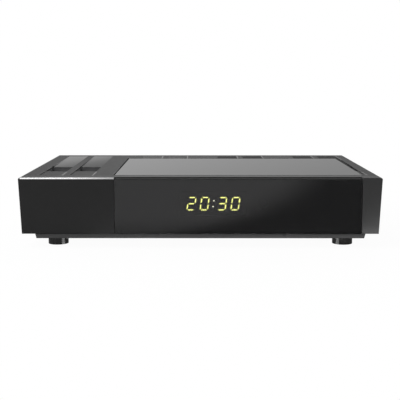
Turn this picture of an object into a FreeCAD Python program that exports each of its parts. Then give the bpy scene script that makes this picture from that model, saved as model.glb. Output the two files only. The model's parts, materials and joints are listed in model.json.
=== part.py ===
import FreeCAD, Part
import os
import re

import Sketcher

# A compact satellite television receiver, in millimetres.
#
# Every piece is drawn with X to the right, Y from the front face (0) to the back and Z up from
# the ground (0). Its body's placement then puts the origin under the middle of the whole
# receiver, rear sockets included.

# Driving sizes. Each is a cell of the sheet and can be changed by itself.
SIZES = {
    # Case
    "body_width": 220,
    "body_depth": 148.5,
    "foot_height": 6,
    "lip_height": 2.8,
    "panel_height": 34.2,
    "side_draft": 1.5,
    "case_wall": 2.2,
    "top_edge_round": 1,
    "seam_gap": 0.3,
    "fit_gap": 0.15,
    "overcut": 1,
    # Front section
    "front_depth": 13.5,
    "skin_thick": 2.0,
    "bond_gap": 0.2,
    "pane_gap": 0.05,
    "fascia_width": 58,
    "cheek_width": 11.8,
    "ledge_front": 5,
    "window_drop": 0.6,
    "window_bevel": 0.6,
    "trim_height": 0.82,
    "trim_gap": 0.1,
    "trim_round": 0.36,
    # Channels and plate on the top
    "channel_front": 15.5,
    "pocket_front": 43,
    "pocket_back": 65,
    "channel_rear_margin": 6.5,
    "channel_width": 14.3,
    "channel_pitch": 19,
    "pair_pitch": 56.6,
    "pair_count": 4,
    "channel_centre": 1.2,
    "channel_front_depth": 0.7,
    "pocket_depth": 3,
    "channel_rear_depth": 0.9,
    "plate_width": 153.5,
    "plate_centre": 23.55,
    "plate_length": 105.8,
    "plate_thick": 1.5,
    "plate_gap": 0.8,
    "plate_round": 0.3,
    "channel_wall": 1.8,
    # Side and floor vents
    "vent_width": 2,
    "vent_height": 12,
    "vent_bottom": 18,
    "vent_start": 48,
    "vent_pitch": 5,
    "vent_count": 12,
    "floor_vent_length": 24,
    "floor_vent_offset": 36,
    # Bottom case
    "lip_inset": 9.5,
    "lip_draft": 0.75,
    "lip_setback": 0.3,
    "floor_thick": 2,
    "flange_thick": 2.2,
    "bar_depth": 14,
    "tray_side": 3,
    "tray_back": 12,
    # Feet
    "foot_radius": 6.25,
    "foot_edge": 11.5,
    "foot_inset": 16.5,
    "foot_round": 0.8,
    "foot_recess": 3.5,
    "foot_boss_gap": 1,
    # Screws
    "screw_radius": 1.25,
    "screw_head_radius": 2.4,
    "screw_head_height": 1.2,
    "screw_clear": 0.05,
    "head_clear": 0.2,
    "screw_tip_gap": 0.5,
    "boss_radius": 3.2,
    "screw_edge": 2.9,
    "screw_front_y": 28,
    "screw_rear_inset": 24,
    "front_screw_spacing": 120,
    "front_screw_y": 9,
    "boss_height": 9,
    "boss_hole_depth": 12,
    "case_screw_reach": 8,
    "post_width": 8,
    "post_depth": 7,
    "post_height": 18,
    "panel_screw_height": 10,
    # Rear panel
    "panel_inset": 1.5,
    "panel_thick": 1,
    "panel_groove": 1.4,
    "panel_clear": 0.3,
    # Main board
    "board_level": 13,
    "board_thick": 1.6,
    "board_side_gap": 5.2,
    "board_front": 18,
    "board_back_gap": 0.6,
    "standoff_radius": 3,
    "standoff_edge": 7,
    "standoff_front_y": 33,
    "standoff_tuner_gap": 4.85,
    # Tuner and its two threaded sockets
    "tuner_x": 77,
    "tuner_width": 34,
    "tuner_length": 44,
    "tuner_height": 18,
    "lid_step": 1,
    "lnb_spacing": 20,
    "lnb_height": 10,
    "lnb_radius": 4.76,
    "thread_deep": 0.45,
    "lnb_bore": 3.4,
    "lnb_pin_hole": 0.6,
    "lnb_pin_depth": 6,
    "lnb_recess": 0.8,
    "socket_reach": 10,
    "socket_clear": 0.25,
    "nut_wall": 0.74,
    "nut_thick": 2.4,
    "washer_wall": 1.84,
    "washer_thick": 0.6,
    # Video socket
    "video_x": 47,
    "video_width": 15,
    "video_height": 5.6,
    "video_bevel": 1.6,
    "video_wall": 0.5,
    "video_depth": 12,
    "shell_floor": 1,
    "video_tongue_width": 11.2,
    "video_tongue_thick": 1.7,
    "video_tongue_rise": 0.2,
    "video_tongue_recess": 2,
    # Scart socket
    "scart_x": 10,
    "scart_width": 50,
    "scart_height": 20,
    "scart_depth": 13,
    "scart_ring_width": 45,
    "scart_ring_height": 13.4,
    "scart_ring_gap": 1.6,
    "scart_bevel": 5,
    "scart_corner": 1.7,
    "scart_floor": 3,
    "scart_slot_pitch": 3.81,
    "scart_slot_width": 0.9,
    "scart_slot_height": 3.6,
    "scart_row_offset": 3,
    "scart_slot_count": 10,
    # Coaxial audio socket
    "coax_x": -26,
    "coax_block": 10,
    "coax_height": 12,
    "coax_level": 6.5,
    "coax_radius": 4.15,
    "coax_wall": 0.6,
    "coax_hole": 1.6,
    "coax_hole_depth": 9,
    "coax_reach": 8.5,
    "coax_recess": 0.6,
    "coax_insert_gap": 0.05,
    # Usb socket
    "usb_x": -42,
    "usb_width": 13.3,
    "usb_height": 5.9,
    "usb_wall": 0.4,
    "usb_depth": 14,
    "usb_tongue_width": 11.1,
    "usb_tongue_thick": 1.8,
    "usb_tongue_gap": 0.5,
    "usb_tongue_recess": 1.5,
    # Jack for a remote infrared eye
    "ir_x": -58,
    "ir_block": 9,
    "ir_height": 10,
    "ir_barrel": 3,
    "ir_bore": 1.8,
    "ir_bore_depth": 14,
    # Power jack
    "dc_x": -72,
    "dc_width": 9,
    "dc_height": 11,
    "dc_level": 6.5,
    "dc_bore": 3.15,
    "dc_bore_depth": 9.5,
    "dc_pin_radius": 1,
    "dc_pin_recess": 0.8,
    "dc_barrel": 4,
    "jack_depth": 14,
    # Power switch
    "switch_x": -90,
    "switch_level": 11.5,
    "rocker_width": 6.4,
    "rocker_radius": 5.6,
    "rocker_gap": 0.3,
    "rocker_corner": 3.1,
    "rocker_dip": 2.1,
    "rocker_swing": 20,
    "rocker_pin": 0.9,
    "rocker_pin_clear": 0.05,
    "rocker_pin_length": 0.8,
    "rocker_back": 3,
    "rocker_relief": 1.5,
    "rocker_back_width": 3.4,
    "switch_wall": 1,
    "switch_rim": 1.2,
    "switch_rim_thick": 1.5,
    "switch_depth": 14,
    "switch_pivot": 1.0,
    "switch_cavity": 7,
    # Chips on the main board
    "processor_x": -6,
    "processor_y": 60,
    "processor_width": 27,
    "processor_thick": 2.2,
    "sink_width": 38,
    "sink_base": 3,
    "sink_height": 12,
    "fin_thick": 1.4,
    "fin_pitch": 4.5,
    "fin_count": 8,
    "chip_thick": 1.2,
    "memory_width": 11,
    "memory_length": 14,
    "memory_pitch": 18,
    "memory_x": -44,
    "memory_y": 50,
    "flash_width": 12,
    "flash_length": 20,
    "flash_x": 34,
    "flash_y": 56,
    "crystal_width": 11,
    "crystal_depth": 4.6,
    "crystal_height": 3.6,
    "crystal_flat": 0.1,
    "crystal_x": 28,
    "crystal_y": 76,
    "capacitor_radius": 4,
    "capacitor_height": 12,
    "capacitor_rim": 0.4,
    "inductor_width": 10,
    "inductor_corner": 2,
    "inductor_height": 5,
    "regulator_width": 6.5,
    "regulator_depth": 7,
    "regulator_height": 2.4,
    # Display
    "display_x": 8,
    "display_drop": 16,
    "display_width": 40,
    "display_height": 14,
    "display_back_gap": 0.3,
    "display_board_y": 10.4,
    "display_board_width": 74,
    "display_board_height": 26,
    "segment_thick": 0.2,
    "digit_height": 8.75,
    "digit_width": 5.6,
    "digit_stroke": 1.15,
    "digit_slant": 0.14,
    "digit_joint": 0.12,
    "digit_pitch": 8,
    "digit_pair_pitch": 18.7,
    "colon_radius": 0.5,
    "colon_pitch": 3.6,
    "aperture_gap": 0.4,
    "eye_x": 38,
    "eye_radius": 2.5,
    "eye_depth": 5,
    "display_screw_spacing": 62,
    "display_boss_radius": 2.4,
    "display_screw_radius": 0.9,
    "display_head_radius": 1.8,
    "display_screw_drop": 4,
    "link_width": 22,
    "link_lap": 6.6,
    "link_foot": 4,
    "link_x": -18,
}

# Middles of the small parts on the main board: across, then forward of the rear panel for the
# capacitors and back from the front face for the others. Each number is a cell of the sheet too.
LAYOUT = {
    "capacitor": [(-82, 34), (-70, 34), (-58, 30), (-70, 24), (-46, 34), (50, 38), (50, 26), (-20, 36)],
    "inductor": [(-73, 68), (-60, 68), (56, 70)],
    "regulator": [(-73, 50), (-62, 50), (72, 58)],
}

for kind, middles in LAYOUT.items():
    for letter, (across, along) in zip("abcdefgh", middles):
        SIZES[f"{kind}_{letter}_across"] = across
        SIZES[f"{kind}_{letter}_along"] = along

# Places and sizes that follow from the ones above, as formulas.
PLACES = {
    "case_bottom": "foot_height + lip_height",
    "top_level": "case_bottom + panel_height",
    "half_top": "body_width / 2",
    "half_bottom": "half_top - side_draft",
    "slope": "side_draft / panel_height",
    "recess_back": "skin_thick + bond_gap",
    "front_wall_back": "recess_back + case_wall",
    "window_left": "fascia_width - half_top",
    "window_right": "half_top - cheek_width",
    "window_top": "top_level - window_drop",
    "cover_front": "front_depth + seam_gap",
    "channel_rear": "body_depth - channel_rear_margin",
    "plate_left": "plate_centre - plate_width / 2",
    "plate_right": "plate_centre + plate_width / 2",
    "plate_back": "channel_front + plate_length",
    "first_pair": "channel_centre - (pair_count - 1) * pair_pitch / 2",
    "ceiling": "top_level - plate_thick - channel_wall",
    "pocket_ceiling": "top_level - pocket_depth - channel_wall",
    "pocket_wall_front": "pocket_front - channel_wall",
    "pocket_wall_back": "pocket_back + channel_wall",
    "lip_half": "half_top - lip_inset",
    "floor_top": "foot_height + floor_thick",
    "flange_top": "case_bottom + flange_thick",
    "flange_half": "half_bottom - case_wall - fit_gap",
    "foot_x": "lip_half - foot_edge",
    "foot_rear_y": "body_depth - foot_inset",
    "foot_boss_top": "board_level - foot_boss_gap",
    "screw_x": "half_bottom - case_wall - screw_edge",
    "screw_rear_y": "body_depth - screw_rear_inset",
    "front_screw_x": "front_screw_spacing / 2",
    "panel_back": "body_depth - panel_inset",
    "panel_front": "panel_back - panel_thick",
    "panel_top": "ceiling - panel_clear",
    "panel_half": "half_bottom - case_wall - panel_clear",
    "board_top": "board_level + board_thick",
    "board_back": "panel_front - board_back_gap",
    "board_half": "screw_x - boss_radius - board_side_gap",
    "standoff_x": "board_half - standoff_edge",
    "post_x": "flange_half - post_width / 2",
    "post_top": "flange_top + post_height",
    "panel_screw_z": "flange_top + panel_screw_height",
    "lnb_z": "board_top + lnb_height",
    "lnb_in_x": "tuner_x + lnb_spacing / 2",
    "lnb_out_x": "tuner_x - lnb_spacing / 2",
    "tuner_back": "panel_front - fit_gap",
    "tuner_front": "tuner_back - tuner_length",
    "standoff_rear_y": "tuner_front - standoff_tuner_gap",
    "socket_end": "body_depth + socket_reach",
    "lnb_neck": "lnb_radius - thread_deep",
    "nut_flats": "2 * (lnb_radius + nut_wall)",
    "nut_front": "panel_back + washer_thick",
    "nut_back": "nut_front + nut_thick",
    "video_top": "board_top + video_height",
    "scart_z": "board_top + scart_height / 2",
    "coax_z": "board_top + coax_level",
    "coax_core": "coax_radius - coax_wall - coax_insert_gap",
    "coax_face": "panel_back + coax_reach - coax_recess",
    "usb_top": "board_top + usb_height",
    "ir_z": "board_top + ir_height / 2",
    "dc_z": "board_top + dc_level",
    "socket_face": "panel_back + fit_gap",
    "switch_z": "board_top + switch_level",
    "pivot_y": "panel_back - switch_pivot",
    "rocker_half": "rocker_width / 2",
    "well_half_x": "rocker_half + rocker_gap",
    "well_half_z": "rocker_radius + rocker_gap",
    "switch_half_x": "well_half_x + switch_wall",
    "switch_half_z": "well_half_z + switch_wall",
    "sink_bottom": "board_top + processor_thick",
    "sink_top": "sink_bottom + sink_height",
    "display_z": "top_level - display_drop",
    "display_front": "skin_thick + display_back_gap + segment_thick",
    "display_board_back": "display_board_y + board_thick",
    "display_board_low": "display_z - display_board_height / 2",
    "display_board_top": "display_z + display_board_height / 2",
    "display_screw_z": "display_board_top - display_screw_drop",
    "display_screw_left": "display_x - display_screw_spacing / 2",
    "display_screw_right": "display_x + display_screw_spacing / 2",
}

WORD = re.compile(r"[a-z][a-z_]*")

# How near two lengths must be to count as equal.
CLOSE = 0.01

# Sketch plane across each axis, and the sense of that plane's normal along the axis.
PLANES = {"X": ("YZ_Plane", 1), "Y": ("XZ_Plane", -1), "Z": ("XY_Plane", 1)}

document = FreeCAD.newDocument("receiver")
sheet = document.addObject("Spreadsheet::Sheet", "sizes")


def fill_sheet():
    """Write every driving size into the sheet, with its name beside it."""
    for row, (name, size) in enumerate(SIZES.items(), start=1):
        sheet.set(f"A{row}", name)
        sheet.set(f"B{row}", str(size))
        sheet.setAlias(f"B{row}", name)
    document.recompute()


def formula(text):
    """Turn a formula of size and place names into an expression on the sheet."""
    def spell_out(match):
        word = match.group()
        if word in SIZES:
            return "sizes." + word
        if word in PLACES:
            return "(" + formula(PLACES[word]) + ")"
        return word
    return WORD.sub(spell_out, str(text))


def value(text):
    """The present value of a formula."""
    return float(sheet.evalExpression(formula(text)))


def bind(thing, path, text):
    """Bind a property or constraint to a formula."""
    thing.setExpression(path, formula(text))


def origin_item(body, role):
    """One of a body's own origin planes or axes."""
    return next(item for item in body.Origin.OriginFeatures if item.Role == role)


def new_body(name):
    """An empty body, placed so that the origin lies under the middle of the receiver."""
    body = document.addObject("PartDesign::Body", name)
    body.Label = name
    bind(body, "Placement.Base.y", "-socket_end / 2")
    return body


def new_sketch(body, name, axis, level):
    """A sketch across an axis, at a level along it."""
    plane, sense = PLANES[axis]
    sketch = body.newObject("Sketcher::SketchObject", name)
    sketch.AttachmentSupport = (origin_item(body, plane), [""])
    sketch.MapMode = "FlatFace"
    bind(sketch, "AttachmentOffset.Base.z", f"{sense} * ({level})")
    return sketch


def tie_point(sketch, line, point, across, up):
    """Hold one end or centre of a curve at two formulas from the sketch's origin."""
    for kind, text in (("DistanceX", across), ("DistanceY", up)):
        rule = Sketcher.Constraint(kind, -1, 1, line, point, value(text))
        bind(sketch, f"Constraints[{sketch.addConstraint(rule)}]", text)


def draw_outline(sketch, corners):
    """A closed outline of straight lines through corners given as pairs of formulas."""
    points = [FreeCAD.Vector(value(across), value(up), 0) for across, up in corners]
    first = sketch.GeometryCount
    count = len(points)
    for index in range(count):
        line = Part.LineSegment(points[index], points[(index + 1) % count])
        sketch.addGeometry(line, False)
    for index in range(count):
        following = first + (index + 1) % count
        sketch.addConstraint(Sketcher.Constraint("Coincident", first + index, 2, following, 1))
    for index, (across, up) in enumerate(corners):
        tie_point(sketch, first + index, 1, across, up)


def draw_circle(sketch, across, up, radius):
    """A circle about a centre given as a pair of formulas."""
    centre = FreeCAD.Vector(value(across), value(up), 0)
    circle = Part.Circle(centre, FreeCAD.Vector(0, 0, 1), value(radius))
    index = sketch.addGeometry(circle, False)
    tie_point(sketch, index, 3, across, up)
    rule = Sketcher.Constraint("Radius", index, value(radius))
    bind(sketch, f"Constraints[{sketch.addConstraint(rule)}]", radius)


def extrude(body, name, axis, start, end, outlines, cut):
    """Pad or pocket a sketch of outlines and circles, from start to end along an axis."""
    sketch = new_sketch(body, name + "_sketch", axis, start)
    for outline in outlines:
        if isinstance(outline, list):
            draw_outline(sketch, outline)
        else:
            draw_circle(sketch, *outline)
    feature = body.newObject("PartDesign::Pocket" if cut else "PartDesign::Pad", name)
    feature.Profile = sketch
    bind(feature, "Length", f"({end}) - ({start})")
    # A pad follows the sketch's normal and a pocket goes against it.
    feature.Reversed = (PLANES[axis][1] < 0) != cut
    return feature


def pad(body, name, axis, start, end, *outlines):
    """Add material under outlines, from start to end along an axis."""
    return extrude(body, name, axis, start, end, outlines, False)


def cut(body, name, axis, start, end, *outlines):
    """Take material away inside outlines, from start to end along an axis."""
    return extrude(body, name, axis, start, end, outlines, True)


def rectangle(left, right, low, high):
    """The corners of an upright rectangle."""
    return [(left, low), (right, low), (right, high), (left, high)]


def centred(across, up, width, height):
    """The corners of a rectangle about its centre."""
    return rectangle(f"{across} - {width} / 2", f"{across} + {width} / 2",
                     f"{up} - {height} / 2", f"{up} + {height} / 2")


def repeat(body, name, feature, axis, spacing, count):
    """Repeat a feature along an axis."""
    pattern = body.newObject("PartDesign::LinearPattern", name)
    pattern.Originals = [feature]
    pattern.Direction = (origin_item(body, axis + "_Axis"), [""])
    bind(pattern, "Length", f"({spacing}) * ({count} - 1)")
    bind(pattern, "Occurrences", count)
    body.Tip = pattern


def finish_edges(body, name, kind, size, chosen):
    """Fillet or chamfer the edges of a body for which chosen is true."""
    document.recompute()
    base = body.Tip
    edges = [f"Edge{index}" for index, edge in enumerate(base.Shape.Edges, start=1) if chosen(edge)]
    feature = body.newObject("PartDesign::" + kind, name)
    feature.Base = (base, edges)
    bind(feature, "Radius" if kind == "Fillet" else "Size", size)


def runs_along(edge, axis, **places):
    """Whether a straight edge runs along an axis and passes through the places given as formulas."""
    box = edge.BoundBox
    length = getattr(box, axis + "Length")
    sizes = [box.XLength, box.YLength, box.ZLength]
    if length < CLOSE or sum(sizes) - length > CLOSE:
        return False
    centre = {"x": box.Center.x, "y": box.Center.y, "z": box.Center.z}
    return all(abs(abs(centre[key]) - abs(value(text))) < CLOSE for key, text in places.items())


def lies_at(edge, level):
    """Whether an edge lies in the level plane at a height."""
    box = edge.BoundBox
    return box.ZLength < CLOSE and abs(box.ZMin - value(level)) < CLOSE


def stands_up(edge, height):
    """Whether an edge is as tall as a height."""
    return edge.BoundBox.ZLength > value(height) - CLOSE


def wall_outline(inset, low, high):
    """The case's sloping section, inset from its outer face, between two heights."""
    def half(height):
        return f"(half_top - ({inset}) - slope * (top_level - ({height})))"
    return [(f"-{half(low)}", low), (half(low), low), (half(high), high), (f"-{half(high)}", high)]


# Case


def front_frame():
    """The moulded front section: window seat, right cheek, top ledge and side walls."""
    body = new_body("front_frame")
    pad(body, "shell", "Y", "0", "front_depth", wall_outline("0", "case_bottom", "top_level"))
    finish_edges(body, "shoulders", "Fillet", "top_edge_round",
                 lambda edge: runs_along(edge, "Y", x="half_top", z="top_level"))
    cut(body, "seat", "Y", "0", "recess_back",
        rectangle("-half_top - overcut", "window_right", "case_bottom - overcut", "top_level + overcut"))
    cut(body, "ledge_step", "Y", "recess_back", "ledge_front",
        rectangle("window_left", "window_right", "window_top", "top_level + overcut"))
    cut(body, "hollow", "Y", "front_wall_back", "front_depth",
        wall_outline("case_wall", "case_bottom - overcut", "top_level - case_wall"))
    cut(body, "cheek_hollow", "Y", "case_wall", "front_wall_back",
        rectangle("window_right + case_wall", "half_bottom - case_wall",
                  "case_bottom + case_wall", "top_level - top_edge_round - case_wall"))
    aperture = centred("display_x", "display_z", "(display_width + 2 * aperture_gap)",
                       "(display_height + 2 * aperture_gap)")
    eye = ("eye_x", "display_z", "eye_radius + aperture_gap")
    cut(body, "openings", "Y", "recess_back", "front_wall_back", aperture, eye)
    for side, place in (("left", "display_screw_left"), ("right", "display_screw_right")):
        pad(body, side + "_display_boss", "Y", "front_wall_back", "display_board_y",
            (place, "display_screw_z", "display_boss_radius"))
        cut(body, side + "_display_hole", "Y", "front_wall_back", "display_board_y",
            (place, "display_screw_z", "display_screw_radius + screw_clear"))
    for side, place in (("left", "-front_screw_x"), ("right", "front_screw_x")):
        pad(body, side + "_boss", "Z", "flange_top + fit_gap", "flange_top + boss_height",
            rectangle(f"{place} - boss_radius", f"{place} + boss_radius", "front_wall_back", "front_depth"))
        cut(body, side + "_boss_hole", "Z", "flange_top + fit_gap", "flange_top + boss_height",
            (place, "front_screw_y", "screw_radius + screw_clear"))
    return body


def left_fascia():
    """The plain panel left of the window, notched along its top for the trim strip."""
    body = new_body("left_fascia")
    left_top = "-half_top"
    left_bottom = "-half_bottom"
    right = "window_left - pane_gap"
    pad(body, "panel", "Y", "0", "skin_thick",
        [(left_bottom, "case_bottom"), (right, "case_bottom"), (right, "top_level"), (left_top, "top_level")])
    finish_edges(body, "shoulder", "Fillet", "top_edge_round",
                 lambda edge: runs_along(edge, "Y", x="half_top", z="top_level"))
    cut(body, "trim_notch", "Y", "0", "skin_thick",
        rectangle("-half_top + top_edge_round", "window_left", "top_level - trim_height",
                  "top_level + overcut"))
    return body


def trim_strip():
    """The bright strip on the fascia's top edge, with a rounded front."""
    body = new_body("trim_strip")
    left = "-half_top + top_edge_round + fit_gap"
    pad(body, "strip", "Y", "0", "skin_thick",
        rectangle(left, "window_left - pane_gap", "top_level - trim_height + trim_gap", "top_level"))
    finish_edges(body, "front_edge", "Fillet", "trim_round",
                 lambda edge: runs_along(edge, "X", y="0", z="top_level"))
    return body


def display_window():
    """The smoked pane over the display, bevelled along its top."""
    body = new_body("display_window")
    pad(body, "pane", "Y", "0", "skin_thick",
        rectangle("window_left + pane_gap", "window_right - pane_gap", "case_bottom", "window_top"))
    finish_edges(body, "top_bevel", "Chamfer", "window_bevel",
                 lambda edge: runs_along(edge, "X", y="0", z="window_top"))
    return body


def channel_profile():
    """A channel from the side: a shallow front, a deep pocket and a rear floor that rises to the top."""
    front_floor = "top_level - channel_front_depth"
    pocket_floor = "top_level - pocket_depth"
    return [("channel_front", "top_level"), ("channel_front", front_floor), ("pocket_front", front_floor),
            ("pocket_front", pocket_floor), ("pocket_back", pocket_floor),
            ("pocket_back", "top_level - channel_rear_depth"), ("channel_rear", "top_level")]


def top_cover():
    """The upper casing, with its channels, the plate's seat, side vents and screw bosses."""
    body = new_body("top_cover")
    pad(body, "shell", "Y", "cover_front", "body_depth", wall_outline("0", "case_bottom", "top_level"))
    finish_edges(body, "shoulders", "Fillet", "top_edge_round",
                 lambda edge: runs_along(edge, "Y", x="half_top", z="top_level"))
    for name, start, end, top in (("front", "cover_front", "pocket_wall_front", "ceiling"),
                                  ("pocket", "pocket_wall_front", "pocket_wall_back", "pocket_ceiling"),
                                  ("rear", "pocket_wall_back", "body_depth", "ceiling")):
        cut(body, name + "_hollow", "Y", start, end,
            wall_outline("case_wall", "case_bottom - overcut", top))
    for name, side in (("left", -1), ("right", 1)):
        centre = f"(first_pair + {side} * channel_pitch / 2)"
        channel = cut(body, name + "_channel", "X", f"{centre} - channel_width / 2",
                      f"{centre} + channel_width / 2", channel_profile())
        repeat(body, name + "_channels", channel, "X", "pair_pitch", "pair_count")
    cut(body, "plate_seat", "Z", "top_level - plate_thick", "top_level",
        rectangle("plate_left - plate_gap", "plate_right + plate_gap",
                  "channel_front - plate_gap", "plate_back + plate_gap"))
    vent = cut(body, "side_vent", "X", "-half_top - overcut", "half_top + overcut",
               rectangle("vent_start", "vent_start + vent_width", "vent_bottom", "vent_bottom + vent_height"))
    repeat(body, "side_vents", vent, "Y", "vent_pitch", "vent_count")
    for name, depth in (("front", "screw_front_y"), ("rear", "screw_rear_y")):
        bosses = [(f"{side} * screw_x", depth, "boss_radius") for side in (-1, 1)]
        pad(body, name + "_bosses", "Z", "flange_top + fit_gap", "ceiling", *bosses)
        holes = [(f"{side} * screw_x", depth, "screw_radius + screw_clear") for side in (-1, 1)]
        cut(body, name + "_boss_holes", "Z", "flange_top + fit_gap", "flange_top + boss_hole_depth", *holes)
    return body


def top_plate():
    """The gloss plate that lies over three of the four pairs of channels."""
    body = new_body("top_plate")
    pad(body, "plate", "Z", "top_level - plate_thick", "top_level",
        rectangle("plate_left", "plate_right", "channel_front", "plate_back"))
    finish_edges(body, "rim", "Fillet", "plate_round", lambda edge: lies_at(edge, "top_level"))
    return body


def bottom_case():
    """The tray that closes the case from below and carries the boards."""
    body = new_body("bottom_case")
    lip_bottom = "lip_half - lip_draft"
    pad(body, "lip", "Y", "lip_setback", "body_depth - lip_setback",
        [(f"-({lip_bottom})", "foot_height"), (lip_bottom, "foot_height"),
         ("lip_half", "case_bottom"), ("-lip_half", "case_bottom")])
    front = "front_wall_back + fit_gap"
    pad(body, "flange", "Z", "case_bottom", "flange_top",
        rectangle("-flange_half", "flange_half", front, "body_depth - lip_setback"))
    cut(body, "tray", "Z", "floor_top", "flange_top",
        rectangle("-lip_half + tray_side", "lip_half - tray_side", "bar_depth", "body_depth - tray_back"))
    for side in (-1, 1):
        name = "left" if side < 0 else "right"
        post = centred(f"{side} * post_x", "(panel_front - fit_gap - post_depth / 2)", "post_width",
                       "post_depth")
        pad(body, name + "_post", "Z", "flange_top", "post_top", post)
    cut(body, "post_holes", "Y", "panel_front - fit_gap - post_depth", "panel_front - fit_gap",
        *[(f"{side} * post_x", "panel_screw_z", "screw_radius + screw_clear") for side in (-1, 1)])
    cut(body, "panel_groove", "Z", "flange_top - panel_groove", "flange_top",
        rectangle("-flange_half - overcut", "flange_half + overcut", "panel_front - fit_gap",
                  "panel_back + fit_gap"))
    supports = [(f"{side} * standoff_x", place, "standoff_radius")
                for side in (-1, 1) for place in ("standoff_front_y", "standoff_rear_y")]
    pad(body, "standoffs", "Z", "floor_top", "board_level", *supports)
    holes = [(across, place, "screw_radius + screw_clear") for across, place, radius in supports]
    cut(body, "standoff_holes", "Z", "floor_top", "board_level", *holes)
    feet = [(f"{side} * foot_x", place) for side in (-1, 1) for place in ("foot_inset", "foot_rear_y")]
    pad(body, "foot_bosses", "Z", "floor_top", "foot_boss_top",
        *[(across, place, "boss_radius") for across, place in feet])
    cut(body, "foot_holes", "Z", "foot_height", "foot_boss_top",
        *[(across, place, "screw_radius + screw_clear") for across, place in feet])
    corner_screws = [(f"{side} * screw_x", place) for side in (-1, 1)
                     for place in ("screw_front_y", "screw_rear_y")]
    front_screws = [(f"{side} * front_screw_x", "front_screw_y") for side in (-1, 1)]
    cut(body, "corner_sinks", "Z", "case_bottom", "case_bottom + screw_head_height",
        *[(across, place, "screw_head_radius + head_clear") for across, place in corner_screws])
    cut(body, "front_sinks", "Z", "foot_height", "foot_height + screw_head_height",
        *[(across, place, "screw_head_radius + head_clear") for across, place in front_screws])
    cut(body, "screw_holes", "Z", "foot_height", "flange_top",
        *[(across, place, "screw_radius + screw_clear") for across, place in corner_screws + front_screws])
    vents = [centred(f"{side} * floor_vent_offset", "(vent_start + vent_width / 2)",
                     "floor_vent_length", "vent_width") for side in (-1, 1)]
    vent = cut(body, "floor_vent", "Z", "foot_height", "floor_top", *vents)
    repeat(body, "floor_vents", vent, "Y", "vent_pitch", "vent_count")
    return body


def rubber_feet():
    """Four round feet with a recess for the screw, under the case."""
    body = new_body("rubber_feet")
    feet = [(f"{side} * foot_x", place) for side in (-1, 1) for place in ("foot_inset", "foot_rear_y")]
    pad(body, "feet", "Z", "0", "foot_height",
        *[(across, place, "foot_radius") for across, place in feet])
    finish_edges(body, "soft_edges", "Fillet", "foot_round", lambda edge: lies_at(edge, "0"))
    cut(body, "head_recesses", "Z", "0", "foot_recess",
        *[(across, place, "screw_head_radius + head_clear") for across, place in feet])
    cut(body, "holes", "Z", "foot_recess", "foot_height",
        *[(across, place, "screw_radius + screw_clear") for across, place in feet])
    return body


def screws(name, axis, groups):
    """Round-headed screws: for each group the places, and where head and shank end."""
    body = new_body(name)
    for number, (places, head_end, seat, tip, head, shank) in enumerate(groups, start=1):
        heads = sorted((head_end, seat), key=value)
        shanks = sorted((seat, tip), key=value)
        pad(body, f"heads_{number}", axis, *heads, *[(across, up, head) for across, up in places])
        pad(body, f"shanks_{number}", axis, *shanks, *[(across, up, shank) for across, up in places])
    return body


def foot_screws():
    """A screw through each foot into the floor's boss."""
    places = [(f"{side} * foot_x", depth) for side in (-1, 1) for depth in ("foot_inset", "foot_rear_y")]
    return screws("foot_screws", "Z", [(places, "foot_recess - screw_head_height", "foot_recess",
                                        "foot_boss_top - screw_tip_gap", "screw_head_radius",
                                        "screw_radius")])


def case_screws():
    """Four screws into the cover's bosses and two into the front frame's."""
    corners = [(f"{side} * screw_x", depth) for side in (-1, 1)
               for depth in ("screw_front_y", "screw_rear_y")]
    fronts = [(f"{side} * front_screw_x", "front_screw_y") for side in (-1, 1)]
    seats = ("case_bottom + screw_head_height", "foot_height + screw_head_height")
    tip = "flange_top + case_screw_reach"
    return screws("case_screws", "Z", [
        (corners, "case_bottom", seats[0], tip, "screw_head_radius", "screw_radius"),
        (fronts, "foot_height", seats[1], tip, "screw_head_radius", "screw_radius")])


def panel_screws():
    """Two screws that hold the rear panel to the case's posts."""
    places = [(f"{side} * post_x", "panel_screw_z") for side in (-1, 1)]
    return screws("panel_screws", "Y", [(places, "panel_back + screw_head_height", "panel_back",
                                         "panel_front - post_depth + screw_tip_gap", "screw_head_radius",
                                         "screw_radius")])


def rear_panel():
    """The steel panel across the back, with a cut-out for each socket."""
    body = new_body("rear_panel")
    pad(body, "sheet", "Y", "panel_front", "panel_back",
        rectangle("-panel_half", "panel_half", "flange_top - panel_groove + fit_gap", "panel_top"))
    clear = "2 * socket_clear"
    openings = [
        ("lnb_in_x", "lnb_z", "lnb_radius + socket_clear"),
        ("lnb_out_x", "lnb_z", "lnb_radius + socket_clear"),
        centred("video_x", "(board_top + video_height / 2)", f"(video_width + {clear})",
                f"(video_height + {clear})"),
        centred("scart_x", "scart_z", f"(scart_width + {clear})", f"(scart_height + {clear})"),
        ("coax_x", "coax_z", "coax_core + socket_clear"),
        centred("usb_x", "(board_top + usb_height / 2)", f"(usb_width + {clear})",
                f"(usb_height + {clear})"),
        ("ir_x", "ir_z", "ir_barrel + socket_clear"),
        ("dc_x", "dc_z", "dc_barrel + socket_clear"),
        centred("switch_x", "switch_z", f"(2 * switch_half_x + {clear})", f"(2 * switch_half_z + {clear})"),
    ]
    cut(body, "cut_outs", "Y", "panel_front", "panel_back", *openings)
    cut(body, "screw_holes", "Y", "panel_front", "panel_back",
        *[(f"{side} * post_x", "panel_screw_z", "screw_radius + head_clear") for side in (-1, 1)])
    return body


# Main board


def main_board():
    """The board that fills the tray, with a hole over each standoff."""
    body = new_body("main_board")
    pad(body, "board", "Z", "board_level", "board_top",
        rectangle("-board_half", "board_half", "board_front", "board_back"))
    cut(body, "screw_holes", "Z", "board_level", "board_top",
        *[(f"{side} * standoff_x", place, "screw_radius + head_clear")
          for side in (-1, 1) for place in ("standoff_front_y", "standoff_rear_y")])
    return body


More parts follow.
